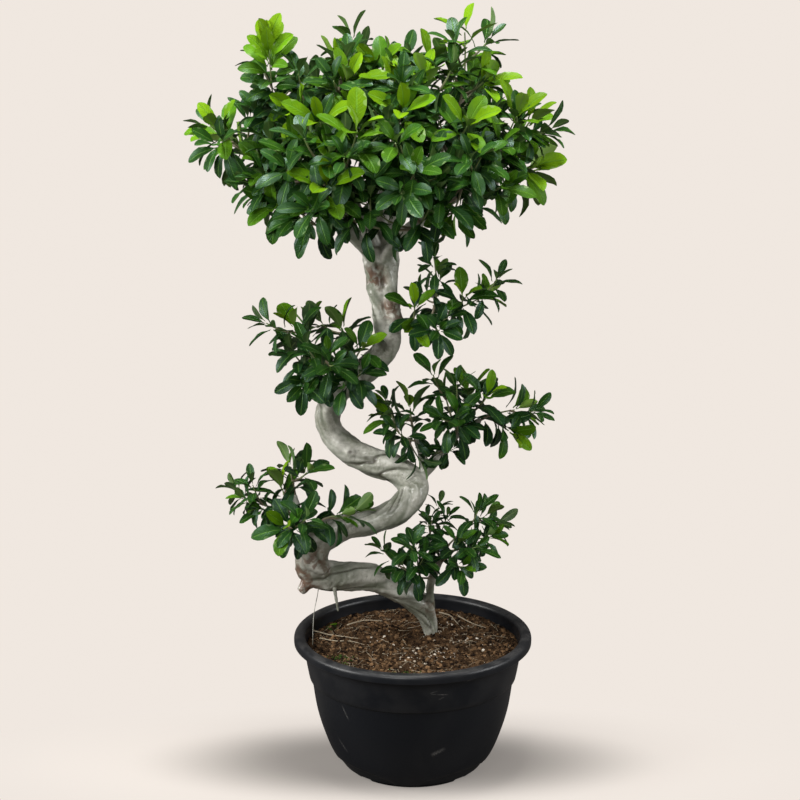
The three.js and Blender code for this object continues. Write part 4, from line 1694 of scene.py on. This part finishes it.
    def build_spray(self, shoots: Sequence[Shoot], family: str, number: int) -> int:
        """Builds one spray in place of its CAD node.

        Args:
            shoots: Its shoots.
            family: The start of its node's name.
            number: Its number in the family.

        Returns:
            How many places for leaves it has.
        """
        draft = Draft(f"{family}_leaves_{number:02d}", self.finishes)
        leaves = 0
        for shoot in shoots:
            thick, thin = (radius * MM * shoot.size for radius in self.twig_radius)
            rings = max(5, int(shoot.line.length / (12 * MM)))
            ages = {"twig_age": lambda share: 1.0 - share}
            draft.add(tube(shoot.line, rings, 6, lambda share: thick + (thin - thick) * share, 2, ages))
            for k, share in shoot.stations():
                self.place_leaf(draft, shoot, k, share)
                leaves += 1
        piece = draft.build(sharp=math.radians(70))
        declare(piece, "foliage", f"{family}_{number:02d}")
        return leaves

    def build(self) -> None:
        """Builds every spray, numbered from 1 in each family."""
        numbers = dict.fromkeys(Family, 0)
        leaves = 0
        sprays = [(name, spray) for name, limb in LIMBS.items() for spray in limb.sprays]
        for index, (name, spray) in enumerate(sprays):
            family = LIMBS[name].family
            numbers[family] += 1
            leaves += self.build_spray(self.shoots(spray, name, index), family.value, numbers[family])
        log.info("foliage: %d places for leaves", leaves)


# The pot


@dataclass(frozen=True)
class Scuff:
    """A rubbed mark on the pot: its place and direction in millimetres, and how strong it is."""

    place: Point
    along: Point
    length: float
    width: float
    strength: float

    def inputs(self) -> dict[str, object]:
        """Reads the mark in metres.

        Returns:
            Its values for the scuff effect.
        """
        direction = unit(np.array(self.along, float))
        return {
            "Place": tuple(float(c) * MM for c in self.place),
            "Along": tuple(float(c) for c in direction),
            "Length": self.length * MM,
            "Width": self.width * MM,
        }


@dataclass
class Pot:
    """The moulded bowl: a rolled rim, a proud upper band and an arched foot ring."""

    sides: int = 180
    wall: float = 3.0
    pad: float = 40.0
    pad_slope: float = 4.0
    pad_top: float = 4.0
    foot_inner: float = 88.0
    foot_outer: float = 98.0
    foot_height: float = 7.0
    floor_under: float = 6.0
    floor_top: float = 10.0
    height: float = 208.0
    rim_outer: float = 177.5
    rim_skirt: float = 194.0
    rim_wall: float = 3.5
    rim_roll: float = 8.5
    body: tuple[Point, ...] = ((108, 7), (122, 28), (134, 58), (144, 93), (151, 139))
    ledge: tuple[Point, ...] = ((151.6, 140.6), (153.6, 141.0), (154.8, 142.2))
    band: tuple[Point, ...] = ((155, 142), (159, 164), (163, 192))
    arches: int = 4
    arch_width: float = 24.0
    arch_height: float = 3.0
    lobes: int = 4
    lobe_turn: float = math.radians(-50)
    lobe_half: float = math.radians(36)
    lobe_height: float = 20.0
    lobe_depth: float = 2.4
    drains: int = 6
    drain_radius: float = 6.0
    drain_circle: float = 66.0
    scuffs: tuple[Scuff, ...] = (
        Scuff((30, -157, 176), (1, 0.20, 0.30), 7, 1.3, 0.6),
        Scuff((37, -155, 171), (1, 0.23, -0.14), 13, 1.1, 0.6),
        Scuff((41, -153, 165), (1, 0.25, 0.45), 6, 1.2, 0.45),
        Scuff((33, -155, 168), (1, 0.22, 0.08), 8, 0.9, 0.35),
        Scuff((-99, -111, 126), (0.35, -0.3, -1), 17, 1.8, 0.4),
        Scuff((36, -133, 73), (1, 0.2, 0.5), 12, 4.5, 0.35),
        Scuff((-103, -88, 64), (0.5, -0.4, -1), 15, 3.0, 0.22),
        Scuff((81, -140, 187), (1, 0.5, 0.05), 12, 1.5, 0.3),
    )

    def outer_wall(self) -> list[Point]:
        """The outside from the foot to under the rim, smooth between its corners."""
        body, band = self._smooth(self.body, 56), self._smooth(self.band, 8)
        return [*body, *self.ledge, *band[1:]]

    @staticmethod
    def _smooth(corners: Sequence[Point], count: int) -> list[Point]:
        """Evenly spaced points on the curve through corners of radius and height."""
        line = Line.through([(r, 0.0, z) for r, z in corners])
        return [(x / MM, z / MM) for x, _, z in line.point(np.linspace(0, 1, count))]

    def rim(self) -> list[Point]:
        """Lays out the rolled rim.

        Returns:
            Its section, from under its skirt over its top to the inner wall.
        """
        skirt_inner = self.rim_outer - self.rim_wall
        top = self.height - self.rim_wall
        outside = [(self.rim_outer - 0.9, self.rim_skirt), (self.rim_outer - 0.2, self.rim_skirt + 0.8)]
        inner = self.band[-1][0] - self.wall
        middle = (self.rim_outer + inner) / 2
        half = (self.rim_outer - inner) / 2
        crest = self.height - self.rim_roll
        roll = [
            (middle + half * math.cos(a), crest + self.rim_roll * math.sin(a) ** 0.75)
            for a in np.linspace(0.0, math.pi, 17)
        ]
        return [
            (self.band[-1][0], top - 1.5), (self.band[-1][0] + 1.5, top),
            (skirt_inner - 1.5, top - 1.0), (skirt_inner, top - 2.5),
            (skirt_inner, self.rim_skirt + 0.6), (skirt_inner + 0.6, self.rim_skirt),
            *outside, *roll,
        ]

    def outline(self) -> list[Point]:
        """Lays out the whole section.

        Returns:
            Its corners, from the middle of the underside round to the middle of the floor.
        """
        outer = self.outer_wall()
        inner = [(r - self.wall, z) for r, z in reversed(outer) if z > self.floor_top + 3]
        slope = self.pad + self.pad_slope
        return [
            (0, 0), (self.pad, 0), (slope, self.floor_under), (self.foot_inner - 4, self.floor_under),
            (self.foot_inner, 0.6), (self.foot_inner + 1, 0), (self.foot_outer - 1, 0),
            (self.foot_outer, 0.6), (self.foot_outer + 0.6, 3.5), (self.foot_outer + 1, self.foot_height),
            *outer, *self.rim(), *inner, (self.body[0][0] - 2 * self.wall, self.floor_top),
            (slope, self.floor_top), (self.pad, self.pad_top), (0, self.pad_top),
        ]

    def arched(self, patch: Patch) -> None:
        """Lifts the foot ring into drain arches, and presses arched lobes into the lower wall.

        Args:
            patch: The turned bowl, which is changed.
        """
        points = patch.points
        radius = np.linalg.norm(points[:, :2], axis=1) / MM
        height = points[:, 2] / MM
        turn = np.arctan2(points[:, 1], points[:, 0])
        ring = (radius > self.foot_inner - 1) & (radius < self.foot_outer + 0.3) & (height < 1.5)
        away = np.abs((turn * self.arches / (2 * math.pi)) % 1.0 - 0.5)
        away *= 2 * math.pi / self.arches * self.foot_outer
        lift = self.arch_height * np.clip(1 - (away / (self.arch_width / 2)) ** 2, 0, 1)
        points[ring, 2] += lift[ring] * MM
        gap = 2 * math.pi / self.lobes
        off = np.abs((turn - self.lobe_turn + gap / 2) % gap - gap / 2) / self.lobe_half
        edge = self.foot_height + self.lobe_height * np.clip(1 - off**2, 0, 1) ** 0.6
        outside = radius > np.interp(height, [z for _, z in self.body], [r for r, _ in self.body]) - 1.5
        pressed = outside & (height > self.foot_height - 0.5) & (height < edge)
        depth = self.lobe_depth * np.clip((edge - height) / 1.5, 0, 1)
        points[pressed, :2] *= (1 - depth[pressed] / radius[pressed])[:, None]

    def build(self, finish: Material) -> None:
        """Builds the pot in place of its CAD node.

        Args:
            finish: Its material.
        """
        patch = solid_of_revolution(self.outline(), self.sides)
        self.arched(patch)
        mesh = self.drained(Draft("moulding", [finish]).add(patch).build())
        mesh.name = "nursery_pot"
        mesh.set_sharp_from_angle(angle=math.radians(38))
        declare(placed(mesh, "nursery_pot"), "pot_plastic", "pot")

    def drained(self, moulding: Object) -> Mesh:
        """Cuts the drain holes through the floor, and takes the uncut moulding away.

        Args:
            moulding: The bowl without its holes.

        Returns:
            The mesh of the bowl with them.
        """
        draft = Draft("drills", [])
        for turn in ring_angles(self.drains):
            x, y = self.drain_circle * math.cos(turn), self.drain_circle * math.sin(turn)
            line = Line.through([(x, y, 0.0), (x, y, self.floor_under + self.floor_top)])
            draft.add(tube(line, 2, 24, lambda share: self.drain_radius * MM))
        drills = draft.build()
        cut = moulding.modifiers.new("drains", "BOOLEAN")
        cut.operation = "DIFFERENCE"
        cut.object = drills
        mesh = evaluated(moulding)
        bpy.data.objects.remove(drills)
        return mesh


# What lies in the pot


@dataclass
class PottingMix:
    """The potting mix: a body that fills the pot, with a crumbly surface.

    Its swells are the mounds and hollows that stand out: x, y, radius and height in millimetres.
    """

    level: float = 188.0
    heap: float = 3.0
    rings: int = 110
    sides: int = 340
    wall_radius: float = 159.0
    outline: tuple[Point, ...] = (
        (39.6, 4.4), (43.6, 10.4), (101.6, 10.4), (118.6, 28), (130.6, 58), (140.6, 93), (147.6, 139),
        (151.6, 142), (155.6, 164),
    )
    swells: tuple[tuple[float, float, float, float], ...] = (
        (48, 74, 46, 9), (-62, 38, 40, 7), (-6, 2, 26, -12), (-95, -45, 34, 4), (95, -20, 36, 4),
        (-120, 70, 40, -4),
    )

    def height(self, x: float, y: float) -> float:
        """Height of the surface at a place, all in millimetres.

        Args:
            x: The place, to the right.
            y: The place, to the back.

        Returns:
            The height above the pot's underside.
        """
        share = math.hypot(x, y) / self.wall_radius
        here = Vector((x, y, 0.0))
        swell = sum(h * math.exp(-((x - cx) ** 2 + (y - cy) ** 2) / r**2) for cx, cy, r, h in self.swells)
        hills = 3.0 * noise.noise(here * 0.022 + Vector((3.0, 1.0, 0.0)))
        clods = 5.0 * abs(noise.noise(here * 0.06)) + 3.4 * noise.noise(here * 0.12)
        crumbs = 2.6 * noise.noise(here * 0.3) + 1.3 * noise.noise(here * 0.8)
        rough = (swell + hills + clods + crumbs) * (1 - 0.45 * share**3)
        return self.level - 2.0 + self.heap * (1 - share**2) + rough

    def surface(self) -> Patch:
        """Makes the body, with its crumbly top.

        Returns:
            Its closed surface.
        """
        angles = ring_angles(self.sides)
        rows = [[(r * math.cos(a), r * math.sin(a), z) for a in angles] for r, z in self.outline]
        for ring in range(self.rings):
            r = self.wall_radius * (1 - ring / self.rings)
            places = [(r * math.cos(a), r * math.sin(a)) for a in angles]
            rows.append([(x, y, self.height(x, y)) for x, y in places])
        ends = [(0, 0, self.outline[0][1]), (0, 0, self.height(0, 0))]
        points = np.array([*(p for row in rows for p in row), *ends]) * MM
        tones = np.array([0.5 + 0.6 * noise.noise(Vector(p) * 120.0) for p in points])
        return Patch(points, skin_over(len(rows), self.sides), 0, {"crumb_tone": tones})

    def build(self, finish: Material) -> None:
        """Builds the mix in place of its CAD node, with this material."""
        declare(Draft("potting_mix", [finish]).add(self.surface()).build(), "potting_mix", "soil")


@dataclass(frozen=True)
class Litter:
    """Loose grains of one kind on the potting mix.

    They lie all over it, or about the spots, each an x, y and radius in millimetres.
    """

    name: str
    finish: CrumbFinish
    count: int
    size: tuple[float, float]
    stretch: tuple[float, float, float]
    seed: int
    spots: tuple[Point, ...] = ()
    reach: float = 154.0
    sunk: float = 0.25

    def place(self, rng: np.random.Generator) -> tuple[float, float]:
        """Chooses where one grain lies.

        Args:
            rng: The source of chance.

        Returns:
            Its x and y, in millimetres.
        """
        while True:
            if self.spots:
                x, y, spread = self.spots[rng.integers(len(self.spots))]
                x, y = x + rng.normal(0, spread), y + rng.normal(0, spread)
            else:
                radius, angle = self.reach * math.sqrt(rng.uniform()), rng.uniform(0, 2 * math.pi)
                x, y = radius * math.cos(angle), radius * math.sin(angle)
            if math.hypot(x, y) < self.reach:
                return x, y

    def grain(self, rng: np.random.Generator) -> tuple[np.ndarray, Faces]:
        """One rough grain about 1 across, at the origin.

        Args:
            rng: The source of chance.

        Returns:
            Its points and its faces.
        """
        t = (1 + math.sqrt(5)) / 2
        corners = [(-1, t, 0), (1, t, 0), (-1, -t, 0), (1, -t, 0), (0, -1, t), (0, 1, t)]
        corners += [(0, -1, -t), (0, 1, -t), (t, 0, -1), (t, 0, 1), (-t, 0, -1), (-t, 0, 1)]
        faces = [(0, 11, 5), (0, 5, 1), (0, 1, 7), (0, 7, 10), (0, 10, 11), (1, 5, 9), (5, 11, 4)]
        faces += [(11, 10, 2), (10, 7, 6), (7, 1, 8), (3, 9, 4), (3, 4, 2), (3, 2, 6), (3, 6, 8)]
        faces += [(3, 8, 9), (4, 9, 5), (2, 4, 11), (6, 2, 10), (8, 6, 7), (9, 8, 1)]
        points = np.array(corners, float) / 3.8
        points *= 1 + rng.uniform(-0.24, 0.24, (12, 1))
        return points * np.array(self.stretch), faces

    def build(self, mix: PottingMix) -> None:
        """Scatters the grains.

        Args:
            mix: What they lie on.
        """
        rng = np.random.default_rng(SEED + self.seed)
        draft = Draft(self.name, [self.finish.material()])
        for _ in range(self.count):
            x, y = self.place(rng)
            low, high = self.size
            size = low + (high - low) * rng.uniform() ** 3
            points, faces = self.grain(rng)
            spin = self._spin(rng)
            place = np.array([x, y, mix.height(x, y) + size * (0.5 * self.stretch[2] - self.sunk)])
            points = (points @ spin * size + place) * MM
            draft.add(Patch(points, faces, 0, {"crumb_tone": np.full(12, rng.uniform() ** 2.0)}))
        declare(draft.build(sharp=math.radians(30)), "potting_mix")

    @staticmethod
    def _spin(rng: np.random.Generator) -> np.ndarray:
        """Turns a grain any way round and tips it a little.

        Args:
            rng: The source of chance.

        Returns:
            The rotation, for points in rows.
        """
        turn, tip = rng.uniform(0, 2 * math.pi), rng.normal(0, 0.35)
        c, s = math.cos(turn), math.sin(turn)
        flat = np.array([[c, s, 0], [-s, c, 0], [0, 0, 1]])
        c, s = math.cos(tip), math.sin(tip)
        return np.array([[1, 0, 0], [0, c, s], [0, -s, c]]) @ flat


LITTERS = (
    Litter(
        "soil_crumbs", CrumbFinish("soil crumbs", (0.008, 0.004, 0.002), (0.240, 0.140, 0.070)),
        7500, (1.3, 8.8), (1.0, 0.75, 0.62), 1,
    ),
    Litter(
        "bark_chips", CrumbFinish("bark chips", (0.040, 0.020, 0.010), (0.380, 0.250, 0.140)),
        300, (3.0, 15.0), (1.0, 0.45, 0.2), 2,
    ),
    Litter(
        "perlite_grains", CrumbFinish("perlite", (0.460, 0.390, 0.300), (0.860, 0.790, 0.680), 0.85, 300.0),
        170, (2.0, 6.5), (1.0, 0.8, 0.7), 3,
        (
            (-40, -2, 16), (0, -48, 20), (48, 48, 16), (90, 10, 26), (20, -70, 30), (30, -60, 34),
            (60, -30, 26),
        ),
    ),
    Litter(
        "moss_tufts", CrumbFinish("moss", (0.012, 0.028, 0.006), (0.090, 0.150, 0.025)),
        260, (2.0, 5.5), (1.0, 0.9, 0.8), 4,
        ((-104, -72, 9), (-112, -62, 7), (-34, -120, 8), (-12, -124, 9), (10, -126, 6), (-128, 76, 6)),
    ),
)


@dataclass(frozen=True)
class Fibres:
    """Thin roots and fibres that lie on the potting mix."""

    roots: tuple[tuple[Point, ...], ...] = (
        ((-150, 44, 6), (-128, 34, 3), (-104, 20, 3), (-80, 10, 0)),
        ((-140, 14, 4), (-116, 6, 2), (-92, -6, 3), (-70, -8, 0)),
        ((42, 118, 4), (58, 92, 5), (66, 60, 4), (82, 38, 1)),
        ((70, 76, 6), (92, 62, 4), (112, 60, 2)),
        ((-100, 74, 4), (-74, 82, 6), (-46, 78, 2)),
    )
    hairs: int = 170
    hair_length: tuple[float, float] = (9.0, 34.0)
    hair_radius: float = 0.38
    root_radius: float = 1.1
    reach: float = 148.0
    edge: float = 152.0
    highest: float = 206.0

    def build(self, mix: PottingMix, finish: Material) -> None:
        """Lays the roots and scatters the fibres.

        Args:
            mix: What they lie on.
            finish: Their material.
        """
        draft = Draft("surface_fibres", [finish])
        for path in self.roots:
            line = Line.through([(x, y, mix.height(x, y) + lift) for x, y, lift in path])
            draft.add(self.strand(line, self.root_radius, 0.75))
        rng = np.random.default_rng(SEED + 9)
        for _ in range(self.hairs):
            radius, angle = self.reach * math.sqrt(rng.uniform()), rng.uniform(0, 2 * math.pi)
            x, y, heading = radius * math.cos(angle), radius * math.sin(angle), rng.uniform(0, 2 * math.pi)
            step = rng.uniform(*self.hair_length) / 3
            path = []
            for i in range(4):
                path.append((x, y, min(mix.height(x, y) + 0.6 + rng.uniform(0, 3.5), self.highest)))
                heading += rng.normal(0, 0.7)
                x, y = x + step * math.cos(heading), y + step * math.sin(heading)
                if math.hypot(x, y) > self.edge:
                    x, y = x * 0.97, y * 0.97
            draft.add(self.strand(Line.through(path), self.hair_radius, rng.uniform(0.1, 0.9)))
        declare(draft.build(), "potting_mix")

    @staticmethod
    def strand(line: Line, radius: float, tone: float) -> Patch:
        """One root or fibre that tapers to its end.

        Args:
            line: Its centreline.
            radius: Its radius where it starts, in millimetres.
            tone: How light it is, from 0 to 1.

        Returns:
            The strand.
        """
        rings = max(5, int(line.length / (4 * MM)))
        tones = {"crumb_tone": lambda share: tone}
        return tube(line, rings, 5, lambda share: radius * MM * (1.0 - 0.6 * share), 0, tones)


@dataclass(frozen=True)
class FallenLeaf:
    """A leaf that has dropped on the potting mix."""

    name: str
    place: Point
    heading: float
    size: float
    age: float

    def build(self, mix: PottingMix, finishes: Sequence[Material]) -> None:
        """Lays the leaf down.

        Args:
            mix: What it lies on.
            finishes: Its materials, upper face first.
        """
        fold, curl = math.radians(14), math.radians(20)
        patch = LeafShape().patch(self.size, slim=1.0, fold=fold, curl=curl, wave=0.12, phase=1.0)
        x, y, lift = self.place
        c, s = math.cos(self.heading), math.sin(self.heading)
        turn = np.array([[c, s, 0.08], [-s, c, -0.12], [0.0, 0.0, 1.0]])
        patch.points = patch.points @ turn + np.array([x, y, mix.height(x, y) + lift]) * MM
        count = len(patch.points)
        patch.values["leaf_age"] = np.full(count, self.age)
        patch.values["leaf_tone"] = np.full(count, 0.5)
        declare(Draft(self.name, finishes).add(patch).build(), "foliage")


# The studio


@dataclass(frozen=True)
class Lamp:
    """A square soft light, in metres and watts."""

    name: str
    place: Point
    aim: Point
    size: float
    watts: float
    colour: Colour = (1.0, 0.99, 0.97)

    def hang(self) -> None:
        """Adds the light to the scene."""
        data = bpy.data.lights.new(self.name, "AREA")
        data.size = self.size
        data.energy = self.watts
        data.color = self.colour
        lamp = placed(data, self.name)
        lamp.location = self.place
        lamp.rotation_euler = (Vector(self.aim) - Vector(self.place)).to_track_quat("-Z", "Y").to_euler()


@dataclass
class Studio:
    """Camera, pale stage and soft light."""

    camera_place: Point = (-19, -2900, 1310)
    camera_pitch: float = 14.4
    focal_pixels: float = 2060.0
    image_width: float = 800.0
    sensor: float = 36.0
    floor_radius: float = 4.5
    sweep: float = 2.5
    top: float = 8.0
    sides: int = 96
    room_colour: Colour = (1.0, 0.985, 0.96)
    room_strength: float = 0.14
    lamps: tuple[Lamp, ...] = (
        Lamp("overhead", (-0.15, -0.45, 3.3), (0.0, 0.0, 0.9), 0.9, 106.0, (1.0, 0.99, 0.96)),
        Lamp("front", (-0.9, -3.1, 2.3), (0.0, 0.0, 0.5), 1.2, 52.0),
        Lamp("left", (-2.2, -0.6, 1.4), (0.0, 0.0, 0.5), 1.1, 58.0),
        Lamp("right", (2.3, -0.6, 1.3), (0.0, 0.0, 0.5), 1.1, 34.0, (0.98, 0.99, 1.0)),
    )

    def camera(self) -> None:
        """Puts the camera where the photograph was taken."""
        data = bpy.data.cameras.new("camera")
        data.sensor_width = self.sensor
        data.lens = self.focal_pixels / self.image_width * self.sensor
        camera = placed(data, "camera")
        camera.location = [c * MM for c in self.camera_place]
        camera.rotation_euler = (math.radians(90 - self.camera_pitch), 0, 0)
        bpy.context.scene.camera = camera

    def stage(self) -> None:
        """A round floor that sweeps up all round into a backdrop."""
        wall = self.floor_radius + self.sweep
        turns = np.linspace(0, math.pi / 2, 16)
        rise = [(self.floor_radius + self.sweep * math.sin(a), self.sweep * (1 - math.cos(a))) for a in turns]
        rise.append((wall, self.top))
        angles = ring_angles(self.sides)
        points = [(r * math.cos(a), r * math.sin(a), z) for r, z in rise for a in angles]
        sweep = [(a, d, c, b) for a, b, c, d in bands(len(rise), self.sides)]
        patch = Patch(np.array(points), [tuple(range(self.sides)), *sweep])
        Draft("stage", [StageFinish().material()]).add(patch).build()

    def room(self) -> None:
        """Fills the room with even light, and shows colours as they are."""
        world = bpy.data.worlds.new("soft room")
        world.use_nodes = True
        background = world.node_tree.nodes["Background"]
        background.inputs["Color"].default_value = (*self.room_colour, 1.0)
        background.inputs["Strength"].default_value = self.room_strength
        bpy.context.scene.world = world
        bpy.context.scene.view_settings.view_transform = "Standard"

    def build(self) -> None:
        """Sets up the camera, the stage, the lights and the room."""
        self.camera()
        self.stage()
        for lamp in self.lamps:
            lamp.hang()
        self.room()


def main() -> None:
    """Builds the studio, the pot and what is in it, and the tree."""
    logging.basicConfig(level=logging.INFO, format="%(name)s: %(message)s")
    Studio().build()
    effects = Effects()
    pot = Pot()
    pot.build(PlasticFinish(effects).material(pot.scuffs))
    mix = PottingMix()
    mix.build(CrumbFinish("potting mix", (0.008, 0.004, 0.002), (0.108, 0.060, 0.029)).material())
    trunk = Trunk()
    bark = BarkFinish(effects).material()
    trunk.build(bark)
    for root in AERIAL_ROOTS:
        root.build(bark)
    finishes = (LeafFinish().material(), UndersideFinish().material(), TwigFinish().material())
    Foliage(trunk, finishes).build()
    for litter in LITTERS:
        litter.build(mix)
    Fibres().build(mix, CrumbFinish("root fibres", (0.110, 0.070, 0.038), (0.560, 0.480, 0.350)).material())
    FallenLeaf("fallen_leaf", (-132, 80, 3), 0.3, 0.42, 0.1).build(mix, finishes)


if __name__ == "__main__":
    main()
